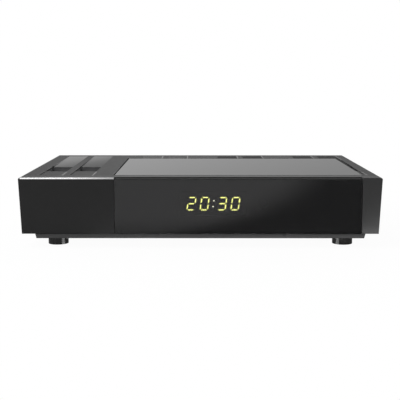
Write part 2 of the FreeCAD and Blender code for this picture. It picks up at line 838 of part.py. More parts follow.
def board_screws():
    """Four screws that hold the main board to its standoffs."""
    places = [(f"{side} * standoff_x", depth) for side in (-1, 1)
              for depth in ("standoff_front_y", "standoff_rear_y")]
    return screws("board_screws", "Z", [(places, "board_top + screw_head_height", "board_top",
                                         "floor_top + screw_tip_gap", "screw_head_radius",
                                         "screw_radius")])


def block(name, across, width, depth, length, low, high):
    """A plain block on a board: across and depth are its centre."""
    body = new_body(name)
    pad(body, "block", "Z", low, high, centred(across, depth, width, length))
    return body


def processor():
    """The main chip."""
    return block("processor", "processor_x", "processor_width", "processor_y", "processor_width",
                 "board_top", "sink_bottom")


def heat_sink():
    """A finned aluminium block on the main chip."""
    body = block("heat_sink", "processor_x", "sink_width", "processor_y", "sink_width",
                 "sink_bottom", "sink_bottom + sink_base")
    first = "processor_x - (fin_count - 1) * fin_pitch / 2"
    fin = pad(body, "fin", "Z", "sink_bottom + sink_base", "sink_top",
              centred(f"({first})", "processor_y", "fin_thick", "sink_width"))
    repeat(body, "fins", fin, "X", "fin_pitch", "fin_count")
    return body


def memory_chips():
    """Two memory chips beside the main chip."""
    body = new_body("memory_chips")
    pad(body, "chips", "Z", "board_top", "board_top + chip_thick",
        *[centred("memory_x", f"(memory_y + {step} * memory_pitch)", "memory_width", "memory_length")
          for step in (0, 1)])
    return body


def flash_chip():
    """The chip that holds the firmware."""
    return block("flash_chip", "flash_x", "flash_width", "flash_y", "flash_length",
                 "board_top", "board_top + chip_thick")


def crystal():
    """The clock crystal in its low can, with rounded ends."""
    body = block("crystal", "crystal_x", "crystal_width", "crystal_y", "crystal_depth",
                 "board_top", "board_top + crystal_height")
    finish_edges(body, "ends", "Fillet", "crystal_depth / 2 - crystal_flat",
                 lambda edge: stands_up(edge, "crystal_height"))
    return body


def layout(kind):
    """The middles of one kind of small part, as pairs of size names."""
    letters = "abcdefgh"[:len(LAYOUT[kind])]
    return [(f"{kind}_{letter}_across", f"{kind}_{letter}_along") for letter in letters]


def capacitors():
    """Upright electrolytic capacitors."""
    body = new_body("capacitors")
    pad(body, "cans", "Z", "board_top", "board_top + capacitor_height",
        *[(across, f"panel_front - {along}", "capacitor_radius") for across, along in layout("capacitor")])
    finish_edges(body, "rims", "Fillet", "capacitor_rim",
                 lambda edge: lies_at(edge, "board_top + capacitor_height"))
    return body


def inductors():
    """Square power inductors of the voltage converters."""
    body = new_body("inductors")
    pad(body, "coils", "Z", "board_top", "board_top + inductor_height",
        *[centred(across, along, "inductor_width", "inductor_width") for across, along in layout("inductor")])
    finish_edges(body, "corners", "Fillet", "inductor_corner",
                 lambda edge: stands_up(edge, "inductor_height"))
    return body


def regulators():
    """Flat voltage regulators."""
    body = new_body("regulators")
    pad(body, "packages", "Z", "board_top", "board_top + regulator_height",
        *[centred(across, along, "regulator_width", "regulator_depth")
          for across, along in layout("regulator")])
    return body


def board_connector():
    """The header that joins the main board to the display board behind the front."""
    body = new_body("board_connector")
    pad(body, "block", "Z", "board_top", "display_board_low + link_lap",
        rectangle("link_x - link_width / 2", "link_x + link_width / 2", "display_board_back",
                  "board_front + link_foot"))
    return body


# Rear sockets


def tuner_can():
    """The screened tuner, with its lid's folded rim drawn as a shallow step."""
    body = new_body("tuner_can")
    pad(body, "can", "Z", "board_top", "board_top + tuner_height - lid_step",
        rectangle("tuner_x - tuner_width / 2", "tuner_x + tuner_width / 2", "tuner_front", "tuner_back"))
    pad(body, "lid", "Z", "board_top + tuner_height - lid_step", "board_top + tuner_height",
        rectangle("tuner_x - tuner_width / 2 + lid_step", "tuner_x + tuner_width / 2 - lid_step",
                  "tuner_front + lid_step", "tuner_back - lid_step"))
    return body


def lnb_socket(name, place):
    """A threaded aerial socket that stands out of the tuner through the rear panel."""
    body = new_body(name)
    pad(body, "neck", "Y", "tuner_back", "nut_back", (place, "lnb_z", "lnb_neck"))
    pad(body, "thread", "Y", "nut_back", "socket_end", (place, "lnb_z", "lnb_radius"))
    cut(body, "bore", "Y", "tuner_back", "socket_end", (place, "lnb_z", "lnb_bore"))
    return body


def lnb_in_socket():
    """The aerial input."""
    return lnb_socket("lnb_in_socket", "lnb_in_x")


def lnb_out_socket():
    """The aerial loop output."""
    return lnb_socket("lnb_out_socket", "lnb_out_x")


def socket_insulators():
    """The plastic cores of the two aerial sockets, each with its contact hole."""
    body = new_body("socket_insulators")
    places = ("lnb_in_x", "lnb_out_x")
    pad(body, "cores", "Y", "tuner_back", "socket_end - lnb_recess",
        *[(place, "lnb_z", "lnb_bore - screw_clear") for place in places])
    cut(body, "contact_holes", "Y", "socket_end - lnb_recess - lnb_pin_depth", "socket_end - lnb_recess",
        *[(place, "lnb_z", "lnb_pin_hole") for place in places])
    return body


def hexagon(across, up, flats):
    """The corners of a hexagon nut with two flats upright."""
    side = f"{flats} / sqrt(3)"
    return [(f"{across}", f"{up} - {side}"), (f"{across} + {flats} / 2", f"{up} - {side} / 2"),
            (f"{across} + {flats} / 2", f"{up} + {side} / 2"), (f"{across}", f"{up} + {side}"),
            (f"{across} - {flats} / 2", f"{up} + {side} / 2"),
            (f"{across} - {flats} / 2", f"{up} - {side} / 2")]


def socket_nuts():
    """The nuts that clamp the rear panel to the aerial sockets."""
    body = new_body("socket_nuts")
    places = ("lnb_in_x", "lnb_out_x")
    pad(body, "nuts", "Y", "nut_front", "nut_back",
        *[hexagon(place, "lnb_z", "nut_flats") for place in places])
    cut(body, "threads", "Y", "nut_front", "nut_back",
        *[(place, "lnb_z", "lnb_neck + screw_clear") for place in places])
    return body


def socket_washers():
    """The washers under those nuts."""
    body = new_body("socket_washers")
    places = ("lnb_in_x", "lnb_out_x")
    pad(body, "washers", "Y", "panel_back", "nut_front",
        *[(place, "lnb_z", "lnb_radius + washer_wall") for place in places])
    cut(body, "holes", "Y", "panel_back", "nut_front",
        *[(place, "lnb_z", "lnb_radius + screw_clear") for place in places])
    return body


def video_outline(inset):
    """The video socket's section, narrower below, inset from its outer face."""
    half = f"(video_width / 2 - ({inset}))"
    low = f"(board_top + ({inset}))"
    high = f"(video_top - ({inset}))"
    bevel = "video_bevel"
    return [(f"video_x - {half} + {bevel}", low), (f"video_x + {half} - {bevel}", low),
            (f"video_x + {half}", f"{low} + {bevel}"), (f"video_x + {half}", high),
            (f"video_x - {half}", high), (f"video_x - {half}", f"{low} + {bevel}")]


def video_socket():
    """The digital video socket's metal shell, closed at its inner end."""
    body = new_body("video_socket")
    pad(body, "shell", "Y", "socket_face - video_depth", "socket_face", video_outline("0"))
    cut(body, "mouth", "Y", "socket_face - video_depth + shell_floor", "socket_face",
        video_outline("video_wall"))
    return body


def video_tongue():
    """The contact tongue inside the video socket."""
    body = new_body("video_tongue")
    middle = "(board_top + video_height / 2 + video_tongue_rise)"
    pad(body, "tongue", "Y", "socket_face - video_depth + shell_floor", "socket_face - video_tongue_recess",
        centred("video_x", middle, "video_tongue_width", "video_tongue_thick"))
    return body


def scart_outline(inset):
    """The scart plug's slanted outline, inset from the outside of its groove."""
    half = f"(scart_ring_width / 2 - ({inset}))"
    high = f"(scart_z + scart_ring_height / 2 - ({inset}))"
    low = f"(scart_z - scart_ring_height / 2 + ({inset}))"
    return [(f"scart_x - {half}", high), (f"scart_x - {half}", f"{low} + scart_corner"),
            (f"scart_x - {half} + scart_corner", low), (f"scart_x + {half} - scart_bevel", low),
            (f"scart_x + {half}", f"{low} + scart_bevel"), (f"scart_x + {half}", high)]


def scart_socket():
    """The scart socket: a block with the plug's groove and two rows of contact slots."""
    body = new_body("scart_socket")
    pad(body, "block", "Y", "socket_face - scart_depth", "socket_face",
        centred("scart_x", "scart_z", "scart_width", "scart_height"))
    cut(body, "groove", "Y", "socket_face - scart_depth + scart_floor", "socket_face",
        scart_outline("0"), scart_outline("scart_ring_gap"))
    first = "(scart_x - (scart_slot_count - 1) * scart_slot_pitch / 2 - scart_slot_pitch / 4)"
    rows = [centred(f"({first} + {shift} * scart_slot_pitch / 2)", f"(scart_z + {side} * scart_row_offset)",
                    "scart_slot_width", "scart_slot_height") for shift, side in ((0, -1), (1, 1))]
    slot = cut(body, "slots", "Y", "socket_face - scart_depth + scart_floor", "socket_face", *rows)
    repeat(body, "slot_rows", slot, "X", "scart_slot_pitch", "scart_slot_count")
    return body


def coax_audio_socket():
    """The coaxial digital audio socket's metal sleeve, seated on the rear panel."""
    body = new_body("coax_audio_socket")
    end = "panel_back + coax_reach"
    pad(body, "sleeve", "Y", "panel_back", end, ("coax_x", "coax_z", "coax_radius"))
    cut(body, "bore", "Y", "panel_back", end, ("coax_x", "coax_z", "coax_radius - coax_wall"))
    return body


def coax_audio_housing():
    """The plastic block behind that sleeve, with the core that fills it."""
    body = new_body("coax_audio_housing")
    front = "panel_front - fit_gap - jack_depth"
    pad(body, "block", "Y", front, "panel_front - fit_gap",
        rectangle("coax_x - coax_block / 2", "coax_x + coax_block / 2", "board_top",
                  "board_top + coax_height"))
    pad(body, "core", "Y", "panel_front - fit_gap", "coax_face", ("coax_x", "coax_z", "coax_core"))
    cut(body, "pin_hole", "Y", "coax_face - coax_hole_depth", "coax_face", ("coax_x", "coax_z", "coax_hole"))
    return body


def usb_socket():
    """The usb socket's shell, closed at its inner end."""
    body = new_body("usb_socket")
    middle = "(board_top + usb_height / 2)"
    pad(body, "shell", "Y", "socket_face - usb_depth", "socket_face",
        centred("usb_x", middle, "usb_width", "usb_height"))
    cut(body, "mouth", "Y", "socket_face - usb_depth + shell_floor", "socket_face",
        centred("usb_x", middle, "(usb_width - 2 * usb_wall)", "(usb_height - 2 * usb_wall)"))
    return body


def usb_tongue():
    """The contact tongue in the upper half of the usb socket."""
    body = new_body("usb_tongue")
    high = "usb_top - usb_wall - usb_tongue_gap"
    pad(body, "tongue", "Y", "socket_face - usb_depth + shell_floor", "socket_face - usb_tongue_recess",
        rectangle("usb_x - usb_tongue_width / 2", "usb_x + usb_tongue_width / 2",
                  f"{high} - usb_tongue_thick", high))
    return body


def ir_jack():
    """The small jack for a remote infrared eye."""
    body = new_body("ir_jack")
    pad(body, "block", "Y", "panel_front - fit_gap - jack_depth", "panel_front - fit_gap",
        centred("ir_x", "ir_z", "ir_block", "ir_height"))
    pad(body, "barrel", "Y", "panel_front - fit_gap", "body_depth", ("ir_x", "ir_z", "ir_barrel"))
    cut(body, "bore", "Y", "body_depth - ir_bore_depth", "body_depth", ("ir_x", "ir_z", "ir_bore"))
    return body


def dc_jack():
    """The power jack: a block, its round mouth and the bore round the pin."""
    body = new_body("dc_jack")
    pad(body, "block", "Y", "panel_front - fit_gap - jack_depth", "panel_front - fit_gap",
        rectangle("dc_x - dc_width / 2", "dc_x + dc_width / 2", "board_top", "board_top + dc_height"))
    pad(body, "mouth", "Y", "panel_front - fit_gap", "socket_face", ("dc_x", "dc_z", "dc_barrel"))
    cut(body, "bore", "Y", "socket_face - dc_bore_depth", "socket_face", ("dc_x", "dc_z", "dc_bore"))
    return body


def dc_pin():
    """The pin in the middle of the power jack."""
    body = new_body("dc_pin")
    pad(body, "pin", "Y", "socket_face - dc_bore_depth", "socket_face - dc_pin_recess",
        ("dc_x", "dc_z", "dc_pin_radius"))
    return body


def switch_body():
    """The power switch's housing, snapped into the panel, with the rocker's well and pin holes."""
    body = new_body("switch_body")
    pad(body, "housing", "Y", "panel_back - switch_depth", "panel_back",
        centred("switch_x", "switch_z", "(2 * switch_half_x)", "(2 * switch_half_z)"))
    pad(body, "rim", "Y", "panel_back", "panel_back + switch_rim_thick",
        centred("switch_x", "switch_z", "(2 * switch_half_x + 2 * switch_rim)",
                "(2 * switch_half_z + 2 * switch_rim)"))
    finish_edges(body, "rim_corners", "Fillet", "switch_rim",
                 lambda edge: abs(edge.BoundBox.YLength - value("switch_rim_thick")) < CLOSE)
    cut(body, "well", "Y", "pivot_y - switch_cavity", "panel_back + switch_rim_thick",
        centred("switch_x", "switch_z", "(2 * well_half_x)", "(2 * well_half_z)"))
    cut(body, "pin_holes", "X", "switch_x - switch_half_x", "switch_x + switch_half_x",
        ("pivot_y", "switch_z", "rocker_pin + rocker_pin_clear"))
    return body


def switch_rocker():
    """The rocker, drawn level about its pivot and then tipped to one end of its swing."""
    body = document.addObject("PartDesign::Body", "switch_rocker")
    body.Label = "switch_rocker"
    pad(body, "drum", "X", "-rocker_half", "rocker_half", ("0", "0", "rocker_radius"))
    wide = "rocker_radius + overcut"
    cut(body, "face", "X", "-rocker_half", "rocker_half",
        [("rocker_dip", "0"), ("rocker_corner", wide), (wide, wide), (wide, f"-({wide})"),
         ("rocker_corner", f"-({wide})")])
    cut(body, "back", "X", "-rocker_half", "rocker_half",
        rectangle(f"-({wide})", "-rocker_back", f"-({wide})", wide))
    for side in (-1, 1):
        name = "upper" if side > 0 else "lower"
        edges = sorted((f"{side} * rocker_back_width", f"{side} * ({wide})"), key=value)
        cut(body, name + "_relief", "X", "-rocker_half", "rocker_half",
            rectangle(f"-({wide})", "-rocker_relief", *edges))
    reach = "rocker_half + rocker_gap + rocker_pin_length"
    pad(body, "pins", "X", f"-({reach})", reach, ("0", "0", "rocker_pin"))
    tip = FreeCAD.Rotation(FreeCAD.Vector(1, 0, 0), value("-rocker_swing / 2"))
    body.Placement = FreeCAD.Placement(FreeCAD.Vector(), tip)
    bind(body, "Placement.Rotation.Angle", "-rocker_swing / 2")
    bind(body, "Placement.Base.x", "switch_x")
    bind(body, "Placement.Base.y", "pivot_y - socket_end / 2")
    bind(body, "Placement.Base.z", "switch_z")
    return body


# Display


def display_board():
    """The upright board behind the window."""
    body = new_body("display_board")
    pad(body, "board", "Y", "display_board_y", "display_board_back",
        rectangle("display_x - display_board_width / 2", "display_x + display_board_width / 2",
                  "display_board_low", "display_board_top"))
    cut(body, "screw_holes", "Y", "display_board_y", "display_board_back",
        *[(place, "display_screw_z", "display_screw_radius + head_clear")
          for place in ("display_screw_left", "display_screw_right")])
    return body


def display_board_screws():
    """Two screws that hold the display board to the front frame."""
    places = [(place, "display_screw_z") for place in ("display_screw_left", "display_screw_right")]
    return screws("display_board_screws", "Y", [(places, "display_board_back + screw_head_height",
                                                 "display_board_back", "front_wall_back + screw_tip_gap",
                                                 "display_head_radius", "display_screw_radius")])


def led_display():
    """The display block that stands through the front frame's aperture."""
    body = new_body("led_display")
    pad(body, "block", "Y", "display_front", "display_board_y",
        centred("display_x", "display_z", "display_width", "display_height"))
    return body


def segment_outline(digit_x, segment):
    """One lit bar of a slanted seven-bar digit, as a six-cornered outline."""
    across = "(digit_width / 2 - digit_stroke / 2)"
    up = "(digit_height / 2 - digit_stroke / 2)"
    levels = {"a": 1, "g": 0, "d": -1}
    half = "(digit_stroke / 2)"
    if segment in levels:
        middle = f"({levels[segment]} * {up})"
        reach = f"({across} - digit_joint)"
        corners = [(f"-{reach}", middle), (f"-{reach} + {half}", f"{middle} - {half}"),
                   (f"{reach} - {half}", f"{middle} - {half}"), (reach, middle),
                   (f"{reach} - {half}", f"{middle} + {half}"), (f"-{reach} + {half}", f"{middle} + {half}")]
    else:
        side = 1 if segment in "bc" else -1
        level = 1 if segment in "bf" else -1
        centre = f"({side} * {across})"
        inner = f"({level} * digit_joint)"
        outer = f"({level} * ({up} - digit_joint))"
        step = f"{level} * {half}"
        corners = [(centre, inner), (f"{centre} + {half}", f"{inner} + {step}"),
                   (f"{centre} + {half}", f"{outer} - {step}"), (centre, outer),
                   (f"{centre} - {half}", f"{outer} - {step}"), (f"{centre} - {half}", f"{inner} + {step}")]
    return [(f"{digit_x} + ({x}) + digit_slant * ({z})", f"display_z + ({z})") for x, z in corners]


def display_digits():
    """The lit bars of the four digits, which read 20:30."""
    body = new_body("display_digits")
    bars = {"2": "abged", "0": "abcdef", "3": "abgcd"}
    digits = (("2", -1, -1), ("0", -1, 1), ("3", 1, -1), ("0", 1, 1))
    for number, (digit, pair, side) in enumerate(digits, start=1):
        digit_x = f"(display_x + {pair} * digit_pair_pitch / 2 + {side} * digit_pitch / 2)"
        pad(body, f"digit_{number}", "Y", "display_front - segment_thick", "display_front",
            *[segment_outline(digit_x, segment) for segment in bars[digit]])
    return body


def display_colon():
    """The two lit dots between hours and minutes."""
    body = new_body("display_colon")
    pad(body, "dots", "Y", "display_front - segment_thick", "display_front",
        *[(f"display_x + {side} * digit_slant * colon_pitch / 2", f"display_z + {side} * colon_pitch / 2",
           "colon_radius") for side in (-1, 1)])
    return body


def ir_receiver():
    """The infrared eye behind the window."""
    body = new_body("ir_receiver")
    pad(body, "eye", "Y", "display_board_y - eye_depth", "display_board_y",
        ("eye_x", "display_z", "eye_radius"))
    return body


PIECES = [
    front_frame, left_fascia, trim_strip, display_window, top_cover, top_plate, bottom_case,
    rubber_feet, foot_screws, case_screws, panel_screws, rear_panel,
    main_board, board_screws, processor, heat_sink, memory_chips, flash_chip, crystal, capacitors,
    inductors, regulators, board_connector,
    tuner_can, lnb_in_socket, lnb_out_socket, socket_insulators, socket_nuts, socket_washers,
    video_socket, video_tongue, scart_socket, coax_audio_socket, coax_audio_housing, usb_socket,
    usb_tongue, ir_jack, dc_jack, dc_pin, switch_body, switch_rocker,
    display_board, display_board_screws, led_display, display_digits, display_colon, ir_receiver,
]


def check_features():
    """Stop if a feature failed, or added or took away nothing."""
    for item in document.Objects:
        if "Invalid" in item.State or "Error" in item.State:
            raise RuntimeError(f"{item.Label} failed: {item.State}")
        if item.TypeId in ("PartDesign::Pad", "PartDesign::Pocket") and item.BaseFeature:
            change = item.Shape.Volume - item.BaseFeature.Shape.Volume
            if (change > 0) != (item.TypeId == "PartDesign::Pad"):
                body = item.getParentGeoFeatureGroup().Label
                raise RuntimeError(f"{item.Label} of {body} changed the volume by {change:.3f}")


def write_pieces(bodies):
    """Check each piece's shape and write it to its own file."""
    for body in bodies:
        if body.Shape.isNull() or not body.Shape.isValid() or not body.Shape.Solids:
            raise RuntimeError(f"{body.Label} has no valid solid")
    os.makedirs("parts", exist_ok=True)
    for body in bodies:
        body.Shape.exportStep(f"parts/{body.Label}.step")


fill_sheet()
built = [piece() for piece in PIECES]
document.recompute()
check_features()
write_pieces(built)
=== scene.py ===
"""Dresses a compact satellite receiver: rounded mouldings, threads, contacts and finishes."""

import json
import math

import bpy
from bpy.props import FloatProperty, FloatVectorProperty, IntProperty, PointerProperty
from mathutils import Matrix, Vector


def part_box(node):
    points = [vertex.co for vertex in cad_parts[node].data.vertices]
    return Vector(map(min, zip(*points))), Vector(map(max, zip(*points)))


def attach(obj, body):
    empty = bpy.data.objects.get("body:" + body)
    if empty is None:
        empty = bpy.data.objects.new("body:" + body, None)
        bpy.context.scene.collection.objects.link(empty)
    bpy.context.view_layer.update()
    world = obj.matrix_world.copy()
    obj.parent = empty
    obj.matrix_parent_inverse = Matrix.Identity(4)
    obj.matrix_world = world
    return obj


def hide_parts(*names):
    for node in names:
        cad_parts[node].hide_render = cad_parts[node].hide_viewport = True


bl_info = {
    "name": "Satellite Receiver Dressing",
    "version": (1, 0, 0),
    "blender": (4, 5, 0),
    "location": "3D View > Sidebar > Receiver",
    "description": "Rounds, details and finishes a compact satellite receiver",
    "category": "Object",
}

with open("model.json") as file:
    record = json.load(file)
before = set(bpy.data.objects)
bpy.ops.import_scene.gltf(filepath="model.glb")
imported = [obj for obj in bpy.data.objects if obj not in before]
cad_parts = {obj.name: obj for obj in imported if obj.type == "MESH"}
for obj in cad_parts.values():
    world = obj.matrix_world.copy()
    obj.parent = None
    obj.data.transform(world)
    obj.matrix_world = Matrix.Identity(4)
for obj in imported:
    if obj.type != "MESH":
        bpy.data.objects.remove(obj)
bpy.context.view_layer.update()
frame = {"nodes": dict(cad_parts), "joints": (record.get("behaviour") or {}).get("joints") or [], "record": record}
NODES = frame["nodes"]

MM = 0.001

# Places that finishes and pieces share, read from the frame.
TOP_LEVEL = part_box("top_cover")[1].z
WINDOW_LOW, WINDOW_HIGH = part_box("display_window")
FRONT = WINDOW_LOW.y
NUT_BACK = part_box("socket_nuts")[1].y

# A turned piece starts along +Z. These turns point it where a screw's head or a mouth looks.
UPWARDS = (0, 0, 0)
DOWNWARDS = (math.radians(180), 0, 0)
BACKWARDS = (math.radians(-90), 0, 0)

# Radius at which a turned outline starts and ends on its own axis.
POLE = 0.0005 * MM


# Sizes and colours that a user would change


def length(name, description, default):
    """A length in metres."""
    return FloatProperty(name=name, description=description, default=default, unit="LENGTH",
                         precision=5)


def colour(name, description, default):
    """A linear colour."""
    return FloatVectorProperty(name=name, description=description, default=default, size=3,
                               subtype="COLOR", min=0, max=1)


class ReceiverSizes(bpy.types.PropertyGroup):
    """Small sizes of the finishing work."""

    edge_round: length("Edge rounding", "Radius on the mouldings' sharp edges", 0.00022)
    fine_round: length("Fine rounding", "Radius on the edges of thin and metal parts", 0.0001)
    thread_pitch: length("Thread pitch", "Pitch of the aerial sockets' thread", 0.00079375)
    screw_pitch: length("Screw pitch", "Pitch of the screws' thread", 0.001)
    bar_slope: length("Bar slope", "Width of the slope round a lit bar's face", 0.00034)
    cross_width: length("Cross width", "Width of the recess in a screw's head", 0.0007)
    contact_width: length("Contact width", "Width of a scart contact's leaf", 0.0005)
    scart_pitch: length("Scart pitch", "Distance between the scart socket's contacts", 0.00381)
    scart_rows: length("Scart rows", "Distance between the scart socket's two rows", 0.006)
    lead_pitch: length("Lead pitch", "Distance between the leads of a chip", 0.00127)
    video_contacts: IntProperty(name="Video contacts", description="Contacts on the video tongue",
                                default=10)


class ReceiverColours(bpy.types.PropertyGroup):
    """Base colours of the finishes."""

    cover: colour("Cover", "Fine-grained upper casing", (0.011, 0.011, 0.0113))
    satin: colour("Satin mouldings", "Front frame and bottom case", (0.018, 0.018, 0.0185))
    fascia: colour("Fascia", "Plain matte panel", (0.0095, 0.0095, 0.0097))
    plate: colour("Top plate", "Gloss plate", (0.012, 0.012, 0.0125))
    window: colour("Window", "Smoked window", (0.0135, 0.0135, 0.014))
    lit: colour("Lit digits", "Glow of the display", (0.92, 0.94, 0.2))
    rubber: colour("Rubber", "Feet", (0.056, 0.056, 0.056))
    panel: colour("Panel", "Painted rear panel", (0.02, 0.02, 0.021))
    mask: colour("Solder mask", "Circuit boards", (0.012, 0.11, 0.045))


# Shader maths


def by_maths(operation, swapped=False):
    """A method that joins a wire and another wire or value in a Math node."""
    def method(self, other):
        first, second = (other, self) if swapped else (self, other)
        return self.finish.node("Math", {"operation": operation}, {0: first, 1: second})
    return method


class Wire:
    """An output socket that can stand in a sum, product or comparison."""

    def __init__(self, finish, socket):
        self.finish = finish
        self.socket = socket

    __add__ = by_maths("ADD")
    __sub__ = by_maths("SUBTRACT")
    __rsub__ = by_maths("SUBTRACT", swapped=True)
    __mul__ = by_maths("MULTIPLY")
    __pow__ = by_maths("POWER")
    __mod__ = by_maths("FLOORED_MODULO")
    __gt__ = by_maths("GREATER_THAN")
    __lt__ = by_maths("LESS_THAN")
    most = by_maths("MAXIMUM")

    def __abs__(self):
        return self.finish.node("Math", {"operation": "ABSOLUTE"}, {0: self})

    def within(self, low, high):
        """1 between two values and 0 outside them."""
        return (self > low) * (self < high)

    def to(self, low, high):
        """Stretch 0 to 1 to a range."""
        return self * (high - low) + low

    def fade(self, start, end, first, second):
        """A soft step from first to second while the wire runs from start to end."""
        return self.finish.node("MapRange", {"interpolation_type": "SMOOTHSTEP"},
                                {0: self, 1: start, 2: end, 3: first, 4: second})

    def blend(self, first, second):
        """A colour between two colours."""
        return self.finish.node("Mix", {"data_type": "RGBA"}, {0: self, 6: first, 7: second}, 2)


class Finish:
    """A procedural material or world under construction."""

    def __init__(self, owner, constants):
        self.owner = owner
        owner.use_nodes = True
        self.tree = owner.node_tree
        self.shader = self.tree.nodes.get("Principled BSDF") or self.tree.nodes["Background"]
        for socket, setting in constants.items():
            self.feed(self.shader.inputs[socket], setting)

    def feed(self, socket, entry):
        """Link a wire to a socket, or set the socket's own value."""
        if isinstance(entry, Wire):
            self.tree.links.new(entry.socket, socket)
        elif socket.type == "RGBA":
            socket.default_value = [*entry, 1.0]
        else:
            socket.default_value = entry

    def node(self, kind, settings=None, inputs=None, output=0):
        """Add a node: its settings first, then the values or links of its sockets."""
        node = self.tree.nodes.new("ShaderNode" + kind)
        for name, setting in (settings or {}).items():
            setattr(node, name, setting)
        for key, entry in (inputs or {}).items():
            self.feed(node.inputs[key], entry)
        return Wire(self, node.outputs[output])

    def place(self):
        """The point on the object, in metres."""
        return self.node("TexCoord", output="Object")

    def axis(self, letter, vector=None):
        """One coordinate of a vector, or else of the point on the object."""
        return self.node("SeparateXYZ", inputs={0: vector or self.place()}, output=letter)

    def facing(self, letter):
        """One coordinate of the surface's normal."""
        return self.axis(letter, self.node("NewGeometry", output="Normal"))

    def stretched(self, scale):
        """The point on the object with each axis scaled by its own factor."""
        return self.node("Mapping", inputs={"Vector": self.place(), "Scale": scale})

    def noise(self, scale, detail=2.0, roughness=0.5, vector=None):
        """A noise of so many grains to the metre."""
        return self.node("TexNoise", inputs={"Vector": vector or self.place(), "Scale": scale,
                                             "Detail": detail, "Roughness": roughness})

    def mottled(self, tint, scale, spread):
        """A base colour that drifts a little lighter and darker."""
        return self.noise(scale, 3.0).blend(scaled(tint, 1 - spread), scaled(tint, 1 + spread))

    def bump(self, height, distance, strength):
        """Feed a height to the shader's normal."""
        inputs = {"Height": height, "Distance": distance, "Strength": strength}
        self.feed(self.shader.inputs["Normal"], self.node("Bump", inputs=inputs))

    def feeds(self, **wires):
        """Feed wires or values to the shader, named as in base_color."""
        for key, entry in wires.items():
            self.feed(self.shader.inputs[socket_name(key)], entry)
        return self.owner

    def feeds_mottled(self, tint, scale, spread, rough):
        """Feed a mottled colour and a roughness."""
        return self.feeds(base_color=self.mottled(tint, scale, spread), roughness=rough)


def socket_name(key):
    """The shader's name for a socket."""
    return "IOR" if key == "ior" else key.replace("_", " ").title()


def new_finish(name, **constants):
    """A finish on a new material, with the shader's constants."""
    inputs = {socket_name(key): setting for key, setting in constants.items()}
    return Finish(bpy.data.materials.new(name), inputs)


def scaled(tint, factor, lift=0):
    """A colour with each channel multiplied and lifted."""
    return [lift + channel * factor for channel in tint]


# Finishes


BLACK_PLASTIC = (0.014, 0.014, 0.015)

# Places on the cover: how deep below its top, or how far behind the front.
SKIN_DEPTH = 0.02 * MM
RIM_DEPTH = 0.3 * MM
FLOOR_DEPTH = 1.1 * MM
POCKET_WALL_DEPTHS = (1.02 * MM, 2.95 * MM)
CHANNEL_START = 15 * MM
FLOOR_START = 64 * MM
POLISH_START = 69.5 * MM


def worn_rims(across, behind):
    """A thin smooth line beside the right rim of each channel, at the channel's two ends."""
    pair_pitch = 56.6 * MM
    channel_pitch = 19.4 * MM
    width = 1.0 * MM
    first_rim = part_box("top_cover")[0].x + 23.91 * MM
    step = (across - first_rim) % pair_pitch
    beside = (step < width) + (abs(step - channel_pitch) < width / 2)
    near_end = behind.within(14 * MM, 33 * MM)
    far_end = behind.within(112 * MM, 143 * MM) * (across > -48 * MM)
    return beside * (near_end + far_end)


def cover_finish(tint):
    """Fine-grained casing: worn smooth on the channels' rims, polished on their rear floors, with painted light on
    its pockets' walls.
    """
    finish = new_finish("Grained casing", ior=1.3)
    across = finish.axis("X")
    behind = finish.axis("Y") - FRONT
    depth = TOP_LEVEL - finish.axis("Z")
    half_width = 104 * MM
    inside = abs(across) < half_width
    below_top = (depth > SKIN_DEPTH) * inside
    rear_floor = below_top * (depth < FLOOR_DEPTH) * (behind > FLOOR_START)
    polished = rear_floor * (behind > POLISH_START)
    dull = rear_floor - polished
    rims = below_top * (depth < RIM_DEPTH) * (behind > CHANNEL_START) * (1 - rear_floor)
    rims = rims + worn_rims(across, behind) * (depth < SKIN_DEPTH)
    plain = 1 - polished - rims
    finish.bump(finish.noise(2300.0, 3.0, 0.6) * (plain * 0.9 + 0.1 + dull * 12), 0.00005, 0.55)
    # The polish grows duller towards the right and towards the front.
    away = across + 100 * MM + (125 * MM - behind) * 0.6
    gloss = away.fade(-20 * MM, 72 * MM, 0.28, 0.64)
    gloss = gloss + across.fade(-20 * MM, 20 * MM, 0.0, 0.24)
    rough = finish.noise(320.0).to(0.62, 0.71) * plain
    # The pockets' walls get a paler colour, painted light that lifts their shade, most of all the ones at the
    # left, which lie in the deepest shade.
    painted_light_walls = inside * depth.within(*POCKET_WALL_DEPTHS)
    painted_wall_light = (finish.facing("X") > 0.5).blend(scaled(tint, 10), scaled(tint, 17))
    return finish.feeds(base_color=painted_light_walls.blend(finish.mottled(tint, 900.0, 0.18), painted_wall_light),
                        roughness=rough + gloss * polished + rims * 0.16 + dull * 0.3)


def frame_finish(tint, grained_tint):
    """The front frame: satin in front, grained on its top, and dull on the step above the window, where a
    near-black colour is painted shade.
    """
    finish = new_finish("Satin frame", ior=1.35, coat_roughness=0.3)
    edge = 0.2 * MM
    height = finish.axis("Z")
    over_window = finish.axis("X").within(WINDOW_LOW.x, WINDOW_HIGH.x)
    grained = height > TOP_LEVEL - edge
    dull = over_window * (height > WINDOW_HIGH.z - edge) * (1 - grained)
    grain = finish.noise(2300.0, 3.0, 0.6)
    finish.bump(grain * grained.to(0.15, 1.0), 0.00005, 0.55)
    # The step above the window is near-black: painted shade under the ledge.
    satin = dull.blend(tint, (0.004, 0.004, 0.004))
    rough = (grained * (1 - over_window * 0.12)).to(0.34, 0.64)
    return finish.feeds(base_color=grained.blend(satin, grained_tint),
                        roughness=rough + dull * 0.5, coat_weight=(1 - grained) * (1 - dull))


def satin_finish(name, tint, rough, grain_height=0.00001):
    """Moulded plastic with a soft sheen and a barely visible grain."""
    finish = new_finish(name, ior=1.45)
    finish.bump(finish.noise(3200.0), grain_height, 0.4)
    uneven = finish.noise(60.0).to(rough - 0.03, rough + 0.03)
    return finish.feeds_mottled(tint, 140.0, 0.06, uneven)


